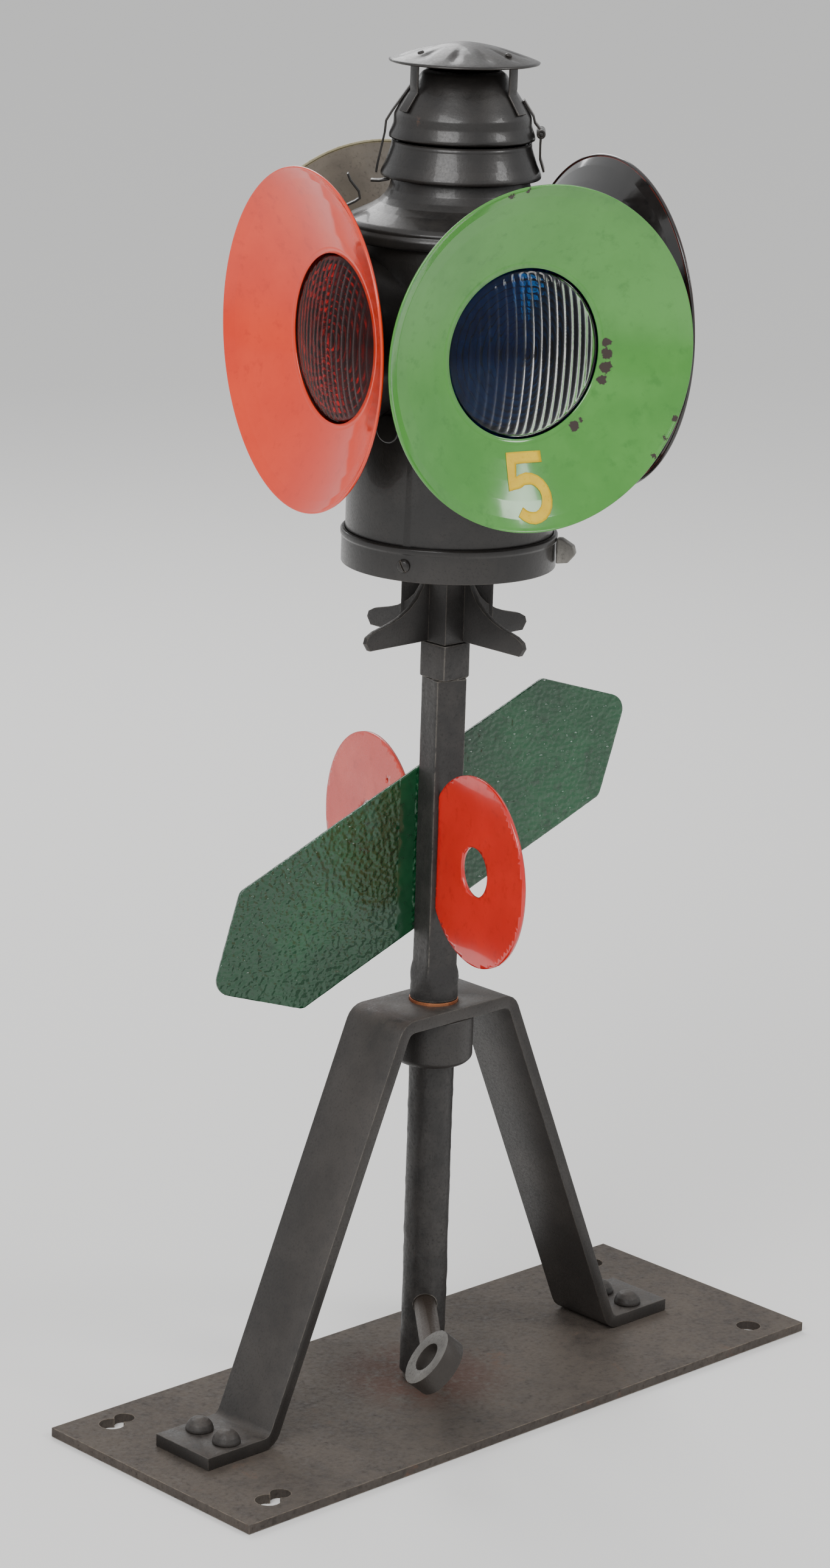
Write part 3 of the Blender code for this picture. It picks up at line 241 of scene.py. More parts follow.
def chipped(mat, spots, colour):
    """Lets the dark iron show where the enamel has chipped off. Each spot is a place and a size."""
    tree = mat.node_tree
    shader = tree.nodes["Principled BSDF"]
    coord = add(tree, "TexCoord").outputs["Object"]
    ragged = grain(tree, coord, 5.0, 6.0, 0.7)
    torn = add(tree, "Math", {1: 0.5}, {0: ragged}, operation="SUBTRACT").outputs[0]
    torn = add(tree, "Math", {1: 0.012}, {0: torn}, operation="MULTIPLY").outputs[0]
    share = None
    for place, size in spots:
        away = add(tree, "VectorMath", {1: place}, {0: coord}, operation="DISTANCE").outputs["Value"]
        away = add(tree, "Math", (), {0: away, 1: torn}, operation="ADD").outputs[0]
        lost = step(tree, away, size, size - 0.0004)
        if share is None:
            share = lost
        else:
            share = add(tree, "Math", (), {0: share, 1: lost}, operation="MAXIMUM").outputs[0]
    was = shader.inputs["Base Color"].links[0].from_socket
    tree.links.new(blend_colour(tree, share, was, colour), shader.inputs["Base Color"])
    was = shader.inputs["Roughness"].links[0].from_socket
    tree.links.new(add(tree, "Mix", {3: 0.85}, {0: share, 2: was}).outputs[0], shader.inputs["Roughness"])


def two_sided(mat, axis, side, rod, reach, along):
    """Gives a forging its rubbed faces, darker sides and a brown rod."""
    tree = mat.node_tree
    shader = tree.nodes["Principled BSDF"]
    place = add(tree, "TexCoord")
    lean = add(tree, "VectorMath", {1: axis}, {0: place.outputs["Normal"]}, operation="DOT_PRODUCT")
    lean = add(tree, "Math", (), {0: lean.outputs["Value"]}, operation="ABSOLUTE").outputs[0]
    was = shader.inputs["Base Color"].links[0].from_socket
    colour = blend_colour(tree, step(tree, lean, 0.90, 0.70), was, side)
    out = add(tree, "VectorMath", {1: along}, {0: place.outputs["Object"]}, operation="DOT_PRODUCT")
    on_rod = step(tree, out.outputs["Value"], reach + 0.004, reach - 0.004)
    tree.links.new(blend_colour(tree, on_rod, colour, rod), shader.inputs["Base Color"])


MATS = {
    # smooth dark paint on forged iron, rubbed a little on its edges
    "stand": finish_of("oil_paint_on_forged_iron", "262423", "322f2d", "1c1b1a", 0.46, 0.15, 60, 1.8, 0.00012,
                       1.6, wear="6f6962", rust="4f3d33", rust_level=0.70, dust="5a554f", dust_top=0.22,
                       scratch=0.3),
    "yoke": finish_of("painted_flat_bar", "2b2826", "383431", "201e1c", 0.48, 0.15, 60, 1.8, 0.00012,
                      1.6, wear="7d766d", rust="55423a", rust_level=0.68, dust="57504a", dust_top=0.40,
                      scratch=0.3),
    # forged square bar, near black, mottled and blistered
    "spindle": finish_of("mottled_paint_on_forging", "282625", "353230", "191716", 0.48, 0.15, 26, 2.4,
                         0.0004, 4.0, wear="857f77", wear_radius=0.0016, rust="4a3930", rust_level=0.66,
                         scratch=0.2),
    # rolled plate: thin paint, brown dust, rust run down from the spindle
    "plate": finish_of("dusty_rolled_plate", "3d3631", "4c443d", "2b2521", 0.72, 0.1, 80, 4.0, 0.0004,
                       3.5, wear="8d8173", rust="5f483b", rust_level=0.60, dust="5b5249", dust_top=0.50,
                       scratch=0.5, stain="4a3227"),
    # bare machined iron, greyed, with faint pits
    "bare": finish_of("bare_greyed_iron", "7d7a75", "96938d", "56524d", 0.42, 0.7, 25, 2.0, 0.0002, 1.6,
                      rust="6b4c3a", rust_level=0.66, wear="b6b2aa"),
    "eye": finish_of("rubbed_forged_iron", "5f5c58", "706d68", "454240", 0.50, 0.3, 25, 2.0, 0.0002, 1.6),
    # turned bearing metal, dull and coppery
    "bush": finish_of("bearing_bronze", "9a5a3c", "b97a54", "5d3525", 0.45, 0.85, 20, 1.5, 0.0001, 1.0),
    # hammered dark green gloss enamel on sheet iron
    "board": finish_of("hammered_green_paint", "0c4024", "11502d", "08321b", 0.22, 0.0, 90, 9.0, 0.0026,
                       3.6, coat=0.5, wear="7b8d7d", wear_radius=0.0010, metal_wear=0.1, relief_detail=0.4),
    # brushed signal red gloss, the rear one faded
    "disc": finish_of("gloss_signal_red", "cc1208", "d81a0e", "b80e06", 0.18, 0.0, 60, 9.0, 0.00004, 9.0,
                      coat=0.7, wear="9a3428", wear_radius=0.0008, metal_wear=0.1),
    "disc_faded": finish_of("faded_signal_red", "cb3a2e", "d54a3c", "b83227", 0.28, 0.0, 60, 9.0, 0.00004,
                            9.0, coat=0.4, wear="9a4438", wear_radius=0.0008, metal_wear=0.1),
    # satin black stove paint on tinplate, thin rust lines where it has gone
    "lamp": finish_of("satin_black_on_tinplate", "211f1e", "2d2a28", "171615", 0.36, 0.2, 50, 1.8, 0.00012,
                      4.0, coat=0.2, wear="6b635b", rust="5c4234", rust_level=0.68, dust="57514b",
                      dust_top=0.15),
    # vitreous enamel: smooth, hard gloss, chipped dark only at its edges
    "green_face": finish_of("vitreous_enamel_green", "458a33", "51963e", "3d7f2d", 0.14, 0.0, 90, 12.0,
                            0.00003, 20.0, coat=0.5, wear="2b2a26", wear_radius=0.0011, metal_wear=0.0,
                            wear_level=0.52),
    "red_face": finish_of("vitreous_enamel_orange_red", "df3206", "e83c10", "cf2c05", 0.14, 0.0, 90, 12.0,
                          0.00003, 20.0, coat=0.5, wear="3a2520", wear_radius=0.0011, metal_wear=0.0,
                          wear_level=0.52),
    # unglazed backs: one dusty grey-brown with an olive rim, one gloss black
    "dusty_back": finish_of("dusty_enamel_back", "5a5248", "6c6357", "453e36", 0.50, 0.0, 60, 3.0, 0.0001,
                            5.0, wear="a09472", dust="7c7163", dust_top=0.4),
    "olive_rim": finish_of("olive_enamel_rim", "8d8464", "a0977a", "6f674c", 0.40, 0.0, 30, 3.0, 0.0001,
                           5.0, wear="3a342c", wear_level=0.52, metal_wear=0.0),
    "black_back": finish_of("gloss_black_back", "1a1817", "262322", "100f0f", 0.14, 0.0, 60, 6.0, 0.00004,
                            8.0, coat=0.6, wear="8a2c1a", metal_wear=0.0),
    "blue_glass": pressed_glass("pressed_glass_blue", "1c96f0", "0f6cc4"),
    "red_glass": pressed_glass("pressed_glass_red", "e00c1c", "a80a16"),
    # drawn lamp brass, tarnished
    "brass": finish_of("tarnished_lamp_brass", "a8843f", "c09c56", "6c5428", 0.34, 0.9, 30, 2.0, 0.0001, 2.0),
    # woven cotton
    "cotton": finish_of("woven_lamp_cotton", "c9bea3", "ddd3bb", "8f846a", 0.95, 0.0, 8, 0.9, 0.0003, 0.8),
    # thick hand-brushed yellow paint
    "numeral": finish_of("brushed_yellow_paint", "dcb200", "e6bf0c", "c49c00", 0.50, 0.0, 12, 3.0, 0.0002,
                         1.8),
}
# the strip beside the spindle was brushed smooth
calm_strip(MATS["board"], (cos(TURN_ANGLE), sin(TURN_ANGLE), 0.0), -0.0270, -0.0150)
two_sided(MATS["eye"], EYE_NORMAL, "35302c", "3d332b", 0.106,
          (cos(CRANK + TURN_ANGLE), sin(CRANK + TURN_ANGLE), 0.0))

# ---------------------------------------------------------------- placing


def radial(azimuth, radius=0.0, height=0.0):
    """Frame on the turned lamp, X outwards along the azimuth."""
    return TURN @ Matrix.Rotation(azimuth, 4, "Z") @ Matrix.Translation((radius, 0.0, height))


def outward(azimuth, radius=0.0, height=0.0):
    """Frame on the turned lamp, Z outwards along the azimuth and X down."""
    return radial(azimuth, radius, height) @ Matrix.Rotation(pi / 2, 4, "Y")


def piece(bm, name, finish, nodes=(), body=None, place=None, sharp=40.0):
    """Turns a bmesh into a finished object that rides on a body and stands for its CAD nodes."""
    bmesh.ops.delete(bm, geom=[e for e in bm.edges if not e.link_faces], context="EDGES")
    bmesh.ops.remove_doubles(bm, verts=bm.verts, dist=1e-6)
    if place is not None:
        bm.transform(place)
    bmesh.ops.recalc_face_normals(bm, faces=bm.faces)
    mesh = bpy.data.meshes.new(name)
    bm.to_mesh(mesh)
    bm.free()
    mesh.shade_smooth()
    mesh.set_sharp_from_angle(angle=radians(sharp))
    made = bpy.data.objects.new(name, mesh)
    bpy.context.collection.objects.link(made)
    for key in ([finish] if isinstance(finish, str) else finish):
        mesh.materials.append(MATS[key])
    nodes = [nodes] if isinstance(nodes, str) else list(nodes)
    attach(made, body or BODY_OF[nodes[0]])
    if nodes:
        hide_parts(*nodes)
    return made


def walled(made, thickness, back=0):
    """Gives an open surface its sheet thickness; back moves the far side to a later slot."""
    wall = made.modifiers.new("wall", "SOLIDIFY")
    wall.thickness = thickness
    wall.offset = 0.0
    wall.material_offset = back
    wall.material_offset_rim = 0
    return made


def spun(outline, closed=True, soft=0.0, steps=96, segments=3):
    """Form turned about Z from (radius, height) points, its corners softened first."""
    bm = bmesh.new()
    verts = [bm.verts.new((radius, 0.0, height)) for radius, height in outline]
    for first, second in zip(verts, verts[1:]):
        bm.edges.new((first, second))
    if closed:
        bm.edges.new((verts[-1], verts[0]))
    corners = [v for v in verts if v.co.x > 1e-5 and len(v.link_edges) == 2]
    if soft:
        bmesh.ops.bevel(bm, geom=corners, offset=soft, offset_type="OFFSET", segments=segments,
                        profile=0.5, affect="VERTICES", clamp_overlap=True, material=-1)
    bmesh.ops.spin(bm, geom=bm.verts[:] + bm.edges[:], cent=(0, 0, 0), axis=(0, 0, 1),
                   angle=2 * pi, steps=steps, use_merge=True)
    bmesh.ops.remove_doubles(bm, verts=bm.verts, dist=1e-6)
    bmesh.ops.dissolve_degenerate(bm, edges=bm.edges, dist=1e-7)
    return bm


def carve(made, tools):
    """Cuts other forms out of a piece and takes them away."""
    for tool in tools:
        mesh = bpy.data.meshes.new("tool")
        bmesh.ops.recalc_face_normals(tool, faces=tool.faces)
        tool.to_mesh(mesh)
        tool.free()
        thing = bpy.data.objects.new("tool", mesh)
        bpy.context.collection.objects.link(thing)
        bore = made.modifiers.new("bore", "BOOLEAN")
        bore.object = thing
        bore.solver = "EXACT"
        bpy.context.view_layer.update()
        graph = bpy.context.evaluated_depsgraph_get()
        done = bpy.data.meshes.new_from_object(made.evaluated_get(graph))
        made.modifiers.remove(bore)
        made.data = done
        bpy.data.objects.remove(thing, do_unlink=True)
    made.data.shade_smooth()
    made.data.set_sharp_from_angle(angle=radians(35.0))
    return made


def dressed(node, finish, edge=0.0008):
    """The solid's own shape with its edges eased."""
    bm = bmesh.new()
    bm.from_mesh(frame["nodes"][node].data)
    bmesh.ops.remove_doubles(bm, verts=bm.verts, dist=1e-6)
    bmesh.ops.dissolve_limit(bm, angle_limit=radians(0.5), verts=bm.verts, edges=bm.edges)
    made = piece(bm, node + "_eased", finish, node, sharp=180.0)
    ease = made.modifiers.new("eased", "BEVEL")
    ease.width = edge
    ease.segments = 2
    ease.limit_method = "ANGLE"
    ease.angle_limit = radians(32.0)
    ease.harden_normals = True
    return made


def relief(bm, reach, seed, size):
    """Moves points along their normals by a smooth noise."""
    bm.normal_update()
    for vert in bm.verts:
        vert.co += vert.normal * reach * noise.noise(vert.co / size + Vector((seed, seed, seed)))


# ---------------------------------------------------------------- stand and spindle

def make_stand():
    dressed("yoke", "yoke", 0.0011)
    head = [(0.0, 0.0006), (0.0055, 0.0006), (0.0055, 0.0178), (0.0110, 0.0178), (0.0108, 0.0198),
            (0.0094, 0.0232), (0.0066, 0.0262), (0.0032, 0.0276), (0.0, 0.0278)]
    for n, (side, row) in enumerate([(-1, -1), (-1, 1), (1, -1), (1, 1)], start=1):
        bm = spun(head, soft=0.0006, steps=40)
        relief(bm, 0.00025, n, 0.006)
        piece(bm, f"foot_rivet_{n}_head", "yoke", f"foot_rivet_{n}",
              place=Matrix.Translation((side * 0.22, row * 0.0155, 0)))
    boss = [(0.0193, 0.2737), (0.0275, 0.2737), (0.0315, 0.2777), (0.0315, 0.3117), (0.0193, 0.3117)]
    piece(spun(boss, soft=0.0016), "bearing_boss_turned", "stand", "bearing_boss")
    bush = [(0.0180, 0.2737), (0.0190, 0.2737), (0.0190, 0.3242), (0.0180, 0.3242)]
    piece(spun(bush, soft=0.0003), "bearing_bush_turned", "bush", "bearing_bush")
    frame["nodes"]["base_plate"].material_slots[0].material = MATS["plate"]
    frame["nodes"]["step_bearing"].material_slots[0].material = MATS["bare"]


def square_reach(side, angle, corner):
    """Distance to a rounded square's outline at an angle."""
    power = corner
    return side / 2 / (abs(cos(angle)) ** power + abs(sin(angle)) ** power) ** (1.0 / power)


def make_spindle():
    levels = [(0.0125, 0.0162, 2, 0), (0.0140, ROUND_RADIUS, 2, 0)]
    levels += [(0.0140 + 0.0034 * n, ROUND_RADIUS, 2, 0) for n in range(1, 91)]
    levels += [(0.3245, ROUND_RADIUS, 2, 0), (0.3252, COLLAR_RADIUS, 2, 0), (0.3285, COLLAR_RADIUS, 2, 0),
               (0.3325, COLLAR_RADIUS, 2, 0)]
    for n in range(1, 7):
        half = COLLAR_RADIUS + (SQUARE_HALF - COLLAR_RADIUS) * n / 6
        levels.append((0.3325 + 0.02 * n / 6, half, 2 + 12 * (n / 6) ** 2, 0))
    levels += [(0.3525 + 0.0060 * n, SQUARE_HALF, 14, 0) for n in range(1, 38)]
    levels += [(0.5795, SQUARE_HALF, 14, 0), (0.5800, 0.0124, 14, 0), (0.5806, 0.0134, 16, 15),
               (0.5815, BLOCK_HALF, 16, 15), (0.6060, BLOCK_HALF, 16, 15), (0.6072, 0.0132, 16, 15),
               (0.6076, 0.0080, 14, 15), (0.6500, 0.0075, 14, 15), (0.6536, 0.0068, 14, 15)]
    bm = bmesh.new()
    count = 64
    bmesh.ops.create_circle(bm, cap_ends=True, segments=count, radius=1.0)
    rim = [e for e in bm.edges if e.is_boundary or len(e.link_faces) == 1]
    ring = {v: atan2(v.co.y, v.co.x) for v in bm.verts}

    def shape(verts, height, half, corner, twist):
        for vert, angle in verts.items():
            reach = half if corner == 2 else square_reach(half * 2, angle, corner)
            turn = angle + radians(twist)
            rough = 0.00022 * noise.noise(Vector((cos(turn) * 3, sin(turn) * 3, height * 55)))
            rough += 0.00035 * noise.noise(Vector((cos(turn) * 1.2, sin(turn) * 1.2, height * 16)))
            if 0.02 < height < 0.262:
                blister = noise.noise(Vector((cos(turn) * 2.4, sin(turn) * 2.4, height * 95)))
                rough += 0.00075 * max(0.0, blister) - 0.0002
            elif height < 0.33 or height > 0.604:
                rough = min(rough, 0.0) * 0.6
            vert.co = ((reach + rough) * cos(turn), (reach + rough) * sin(turn), height)

    shape(ring, *levels[0])
    for level in levels[1:]:
        grown = bmesh.ops.extrude_edge_only(bm, edges=rim)
        fresh = [g for g in grown["geom"] if isinstance(g, bmesh.types.BMVert)]
        rim = [g for g in grown["geom"] if isinstance(g, bmesh.types.BMEdge) and g.is_boundary]
        order = {}
        for vert in fresh:
            near = [e.other_vert(vert) for e in vert.link_edges if e.other_vert(vert) in ring]
            order[vert] = ring[near[0]]
        ring = order
        shape(ring, *level)
    bmesh.ops.contextual_create(bm, geom=rim)
    made = piece(bm, "spindle_forged", "spindle", "spindle", place=TURN, sharp=50.0)
    hole = bmesh.new()
    bmesh.ops.create_cone(hole, cap_ends=True, segments=48, radius1=0.0092, radius2=0.0092, depth=0.1)
    hole.transform(outward(CRANK, 0.0, EYE_HEIGHT))
    carve(made, [hole])


def make_crank():
    dressed("eye_bolt", "eye", 0.0012)
    dressed("crank_nut", "stand", 0.0010)


# ---------------------------------------------------------------- vanes

def grid_cut(bm, pitch, reach):
    """Cuts a flat form into squares so that it can be dented."""
    count = int(reach / pitch)
    for n in range(-count, count + 1):
        for axis in ((1, 0, 0), (0, 1, 0)):
            bmesh.ops.bisect_plane(bm, geom=bm.verts[:] + bm.edges[:] + bm.faces[:],
                                   plane_co=(n * pitch * axis[0], n * pitch * axis[1], 0), plane_no=axis)


def make_board():
    bm = bmesh.new()
    corners = [(-0.1475, 0.057), (0.1475, 0.057), (0.2035, 0.0), (0.1475, -0.057), (-0.1475, -0.057),
               (-0.2035, 0.0)]
    bm.faces.new([bm.verts.new((x, y, 0)) for x, y in corners])
    others = [v for v in bm.verts if abs(v.co.y) > 1e-6]
    bmesh.ops.bevel(bm, geom=others, offset=0.003, segments=4, profile=0.5, affect="VERTICES", material=-1)
    points = [v for v in bm.verts if abs(v.co.y) < 1e-6]
    bmesh.ops.bevel(bm, geom=points, offset=0.0125, segments=8, profile=0.5, affect="VERTICES", material=-1)
    grid_cut(bm, 0.0020, 0.204)
    for vert in bm.verts:
        flat = vert.co.copy()
        hammer = noise.noise(flat / 0.0042) * 0.00032 + noise.noise(flat / 0.045) * 0.0005
        vert.co.z = hammer
    place = (TURN @ Matrix.Translation((-0.006, 0.0149, VANE_HEIGHT)) @ Matrix.Rotation(BOARD_TILT, 4, "Y")
             @ Matrix.Rotation(pi / 2, 4, "X"))
    walled(piece(bm, "green_board_hammered", "board", "green_board", place=place), 0.0026)


def make_disc(name, side, shift, start, seed, finish, hole=None):
    bm = bmesh.new()
    bmesh.ops.create_circle(bm, cap_ends=False, segments=128, radius=DISC_RADIUS)
    for vert in bm.verts:
        vert.co.x = min(vert.co.x, DISC_FLAT)
    bmesh.ops.create_circle(bm, cap_ends=False, segments=56, radius=DISC_EYE_RADIUS)
    if hole:
        bmesh.ops.create_circle(bm, cap_ends=False, segments=24, radius=0.0020,
                                matrix=Matrix.Translation((hole[0], hole[1], 0)))
    bmesh.ops.triangle_fill(bm, edges=bm.edges[:], use_beauty=True, use_dissolve=False)
    grid_cut(bm, 0.004, 0.074)
    for vert in bm.verts:
        vert.co.z = noise.noise(vert.co / 0.055 + Vector((seed, 0, 0))) * 0.0005
    turn = Matrix.Rotation(-side * pi / 2, 4, "Z")
    place = (TURN @ Matrix.Translation((shift, side * (start + DISC_FLAT), VANE_HEIGHT)) @ turn
             @ Matrix.Rotation(pi / 2, 4, "X"))
    walled(piece(bm, name + "_sheet", finish, name, place=place), 0.0028)


# ---------------------------------------------------------------- lamp

def make_lamp_base():
    dressed("lamp_socket", "stand", 0.0009)
    dressed("ring_lug", "bare", 0.0009)
    floor = RING_BOTTOM + 0.0046
    top = RING_BOTTOM + 0.0206
    inner = BODY_RADIUS + 0.0003
    ring = [(0.0, floor), (inner, floor), (inner, RING_BOTTOM), (RING_RADIUS, RING_BOTTOM),
            (RING_RADIUS, top - 0.0006), (RING_RADIUS + 0.0009, top + 0.0008),
            (RING_RADIUS + 0.0009, top + 0.0040), (RING_RADIUS - 0.0004, top + 0.0052),
            (inner, top + 0.0052), (inner, floor + 0.0020), (0.0, floor + 0.0020)]
    made = piece(spun(ring, soft=0.0005, steps=128), "base_ring_beaded", "lamp", "base_ring")
    azimuths = [radians(SCREW_AZIMUTH + 120.0 * n) for n in range(3)]

    def bores():
        tools = []
        for azimuth in azimuths:
            hole = bmesh.new()
            bmesh.ops.create_cone(hole, cap_ends=True, segments=24, radius1=SCREW_BORE,
                                  radius2=SCREW_BORE, depth=0.03)
            hole.transform(outward(azimuth, BODY_RADIUS, SCREW_HEIGHT))
            tools.append(hole)
        return tools

    carve(made, bores())
    head = [(0.0, -0.004), (0.0024, -0.004), (0.0024, 0.0030), (0.0052, 0.0030), (0.0050, 0.0042),
            (0.0038, 0.0053), (0.0018, 0.00578), (0.0, 0.0058)]
    for n, azimuth in enumerate(azimuths, start=1):
        place = outward(azimuth, BODY_RADIUS, SCREW_HEIGHT)
        screw = piece(spun(head, soft=0.0003, steps=40), f"base_screw_{n}_slotted", "lamp",
                      f"base_screw_{n}", place=place)
        slot = bmesh.new()
        bmesh.ops.create_cube(slot, size=1.0)
        bmesh.ops.scale(slot, verts=slot.verts, vec=(0.012, 0.0011, 0.0022))
        slot.transform(place @ Matrix.Rotation(0.5 * n, 4, "Z") @ Matrix.Translation((0, 0, 0.0056)))
        carve(screw, [slot])
    return bores


def make_body(bores):
    low = RING_BOTTOM + 0.0069
    inner = BODY_RADIUS - WALL
    tube = [(inner, low), (BODY_RADIUS, low), (BODY_RADIUS, BODY_TOP), (inner, BODY_TOP)]
    body = piece(spun(tube, soft=0.0002, steps=128), "lamp_body_drawn", "lamp", "lamp_body")
    slope = (0.0663 - (HOLDER_START - 0.0015)) / (0.0946 - HOLDER_START)
    cutters = bores()
    for azimuth in FACINGS.values():
        near = HOLDER_START - 0.0015 + 0.0006 + slope * (0.030 - HOLDER_START)
        far = HOLDER_START - 0.0015 + 0.0006 + slope * (0.0885 - HOLDER_START)
        cone = spun([(0.0, 0.030), (near, 0.030), (far, 0.0885), (0.0, 0.0885)], steps=64)
        bmesh.ops.delete(cone, geom=[e for e in cone.edges if not e.link_faces], context="EDGES")
        cone.transform(outward(azimuth, 0.0, LENS_HEIGHT))
        cutters.append(cone)
    peep = bmesh.new()
    bmesh.ops.create_cone(peep, cap_ends=True, segments=32, radius1=0.0055, radius2=0.0055, depth=0.03)
    peep.transform(outward(PEEP_AZIMUTH, 0.075, PEEP_HEIGHT))
    cutters.append(peep)
    carve(body, cutters)
    cover = [(0.0, 0.0), (0.0105, 0.0), (0.0105, 0.0012), (0.0095, 0.0018), (0.0, 0.0018)]
    piece(spun(cover, soft=0.0003, steps=48), "peephole_cover_disc", "lamp", "peephole_cover",
          place=outward(PEEP_AZIMUTH, BODY_RADIUS + 0.0006, PEEP_HEIGHT))


def glass_crown(radius):
    """Rise of a lens's domed front at a radius."""
    return GLASS_CROWN * sqrt(max(0.0, 1 - (radius / GLASS_RADIUS) ** 2 * 0.96))


def make_lenses():
    bore = 0.0643
    for spot, azimuth in FACINGS.items():
        hue = "blue" if spot in ("front", "rear") else "red"
        place = outward(azimuth, 0.0, LENS_HEIGHT)
        holder = [(HOLDER_START - 0.0015, HOLDER_START), (0.0663, 0.0946), (0.0671, 0.0961), (0.0671, 0.1012),
                  (bore, 0.1012), (bore, 0.0961), (0.0612, 0.0961), (0.0612, 0.0916),
                  (HOLDER_START - 0.0033, HOLDER_START)]
        node = f"lens_holder_{spot}"
        piece(spun(holder, soft=0.0003), node + "_spun", "lamp", node, place=place)
        dome = []
        for n in range(1, 61):
            radius = GLASS_RADIUS * (1 - n / 60)
            crown = glass_crown(radius) - 0.0025 * (1 - n / 60)
            dome.append((radius, LENS_SEAT + min(0.0124, crown)))
        bends = [(0.0, 0.1043), (0.0230, 0.1032), (0.0430, 0.1005), (0.0560, 0.0985)]
        back = [bends[0]]
        for n in range(2, 45):
            radius = RING_PITCH * (n // 4) + (0.0, 0.0016, 0.0032, 0.0049)[n % 4]
            if not 0.001 < radius < 0.0560:
                continue
            r0, z0, r1, z1 = next((a, b, c, d) for (a, b), (c, d) in zip(bends, bends[1:])
                                  if a <= radius <= c + 1e-4)
            back.append((radius, z0 + (z1 - z0) * (radius - r0) / (r1 - r0)
                         + RING_STEP * (1 - (n % 4) / 3)))
        back.append((0.0612, 0.0964))
        edge = [(0.0640, 0.0964), (0.0640, 0.1000), (GLASS_RADIUS, LENS_SEAT)]
        bm = spun(edge + dome + back, steps=300)
        for vert in bm.verts:
            radius = sqrt(vert.co.x ** 2 + vert.co.y ** 2)
            front = LENS_SEAT + glass_crown(radius) - 0.0026
            if radius < 0.0600 and vert.co.z > front - 0.0004:
                fade = min(1.0, (0.0600 - radius) / 0.003)
                vert.co.z -= FLUTE_DEPTH * fade * (1 - abs(cos(pi * vert.co.y / FLUTE_PITCH)))
        node = f"lens_{hue}_{spot}"
        piece(bm, f"{node}_ribbed", hue + "_glass", node, place=place, sharp=60)
        face = "green_face" if hue == "blue" else "red_face"
        back_finish = "dusty_back" if spot in ("rear", "left") else "black_back"
        curl = [(0.1255, 0.1300), (0.1262, 0.1306), (0.1262, 0.1296), (0.1252, 0.1284)]
        dish = [(0.0627, 0.1022)] + TARGET_FACE + curl
        shade_name = "green" if hue == "blue" else "red"
        target = f"day_target_{shade_name}_{spot}"
        bm = spun(dish, closed=False, soft=0.0005, steps=160)
        slots = [face, back_finish]
        if spot == "rear":
            slots = ["green_face", "dusty_back", "olive_rim"]
        for face_on_rim in bm.faces:
            middle = face_on_rim.calc_center_median()
            if spot == "rear" and middle.xy.length > RIM_RADIUS:
                face_on_rim.material_index = 2
            elif spot == "right" and middle.xy.length > RIM_RADIUS and middle.z < RIM_BACK:
                face_on_rim.material_index = 1
        walled(piece(bm, target + "_enamelled", slots, target, place=place, sharp=80), 0.0012, back=1)


def chip_enamel():
    """The front target is chipped beside its lens, on its top edge and on its lower right edge."""
    place = outward(FACINGS["front"], 0.0, LENS_HEIGHT)
    spots = []
    for angle, reach, height, size in ((-4, 0.0690, 0.1029, 0.0032), (3, 0.0700, 0.1033, 0.0044),
                                       (11, 0.0700, 0.1033, 0.0048), (19, 0.0695, 0.1031, 0.0038),
                                       (46, 0.0705, 0.1035, 0.0026), (52, 0.0700, 0.1033, 0.0034),
                                       (-104, 0.1235, 0.1285, 0.0030), (-98, 0.1245, 0.1292, 0.0022),
                                       (24, 0.1245, 0.1292, 0.0022), (31, 0.1245, 0.1292, 0.0026),
                                       (38, 0.1245, 0.1292, 0.0022)):
        turn = radians(angle)
        spots.append((place @ Vector((reach * sin(turn), reach * cos(turn), height)), size))
    chipped(MATS["green_face"], spots, "352823")


def make_numeral():
    """A brushed figure 5 under the front lens, lying on the target's dish."""
    line = [(0.0145, -0.0755), (-0.0105, -0.0755), (-0.0125, -0.0935)]
    bowl = [radians(125 - 265 * n / 16) for n in range(17)]
    line += [(0.0005 + 0.0135 * cos(angle), -0.1035 + 0.0135 * sin(angle)) for angle in bowl]
    line = [Vector(point) for point in line]
    sides = []
    for n, point in enumerate(line):
        start = min(n, len(line) - 2)
        ahead = (line[start + 1] - line[start]).normalized()
        behind = (point - line[n - 1]).normalized() if n else ahead
        normal = Vector((-(ahead + behind).y, (ahead + behind).x)).normalized()
        flat = Vector((-ahead.y, ahead.x))
        wide = 0.0040 / max(0.66, normal.dot(flat)) * (1 + 0.10 * noise.noise(Vector((n * 0.7, 0, 0))))
        sides.append((point - normal * wide, point + normal * wide))
    bm = bmesh.new()
    rows = []
    for (low, high), (low2, high2) in zip(sides, sides[1:]):
        for n in range(6):
            rows.append((low.lerp(low2, n / 6), high.lerp(high2, n / 6)))
    rows.append(sides[-1])
    grid = []
    for low, high in rows:
        row = []
        for n in range(5):
            spot = low.lerp(high, n / 4)
            radius = min(max(spot.length, 0.0673), 0.1239)
            spans = zip(TARGET_FACE, TARGET_FACE[1:])
            (r0, z0), (r1, z1) = next(span for span in spans if radius <= span[1][0])
            row.append(bm.verts.new((spot.x, spot.y, z0 + (z1 - z0) * (radius - r0) / (r1 - r0) + 0.0010)))
        grid.append(row)
    for first, second in zip(grid, grid[1:]):
        for n in range(4):
            bm.faces.new((first[n], second[n], second[n + 1], first[n + 1]))
    place = outward(FACINGS["front"], 0.0, LENS_HEIGHT) @ Matrix.Rotation(pi / 2, 4, "Z")
    walled(piece(bm, "painted_numeral", "numeral", body="lamp", place=place), 0.0003)


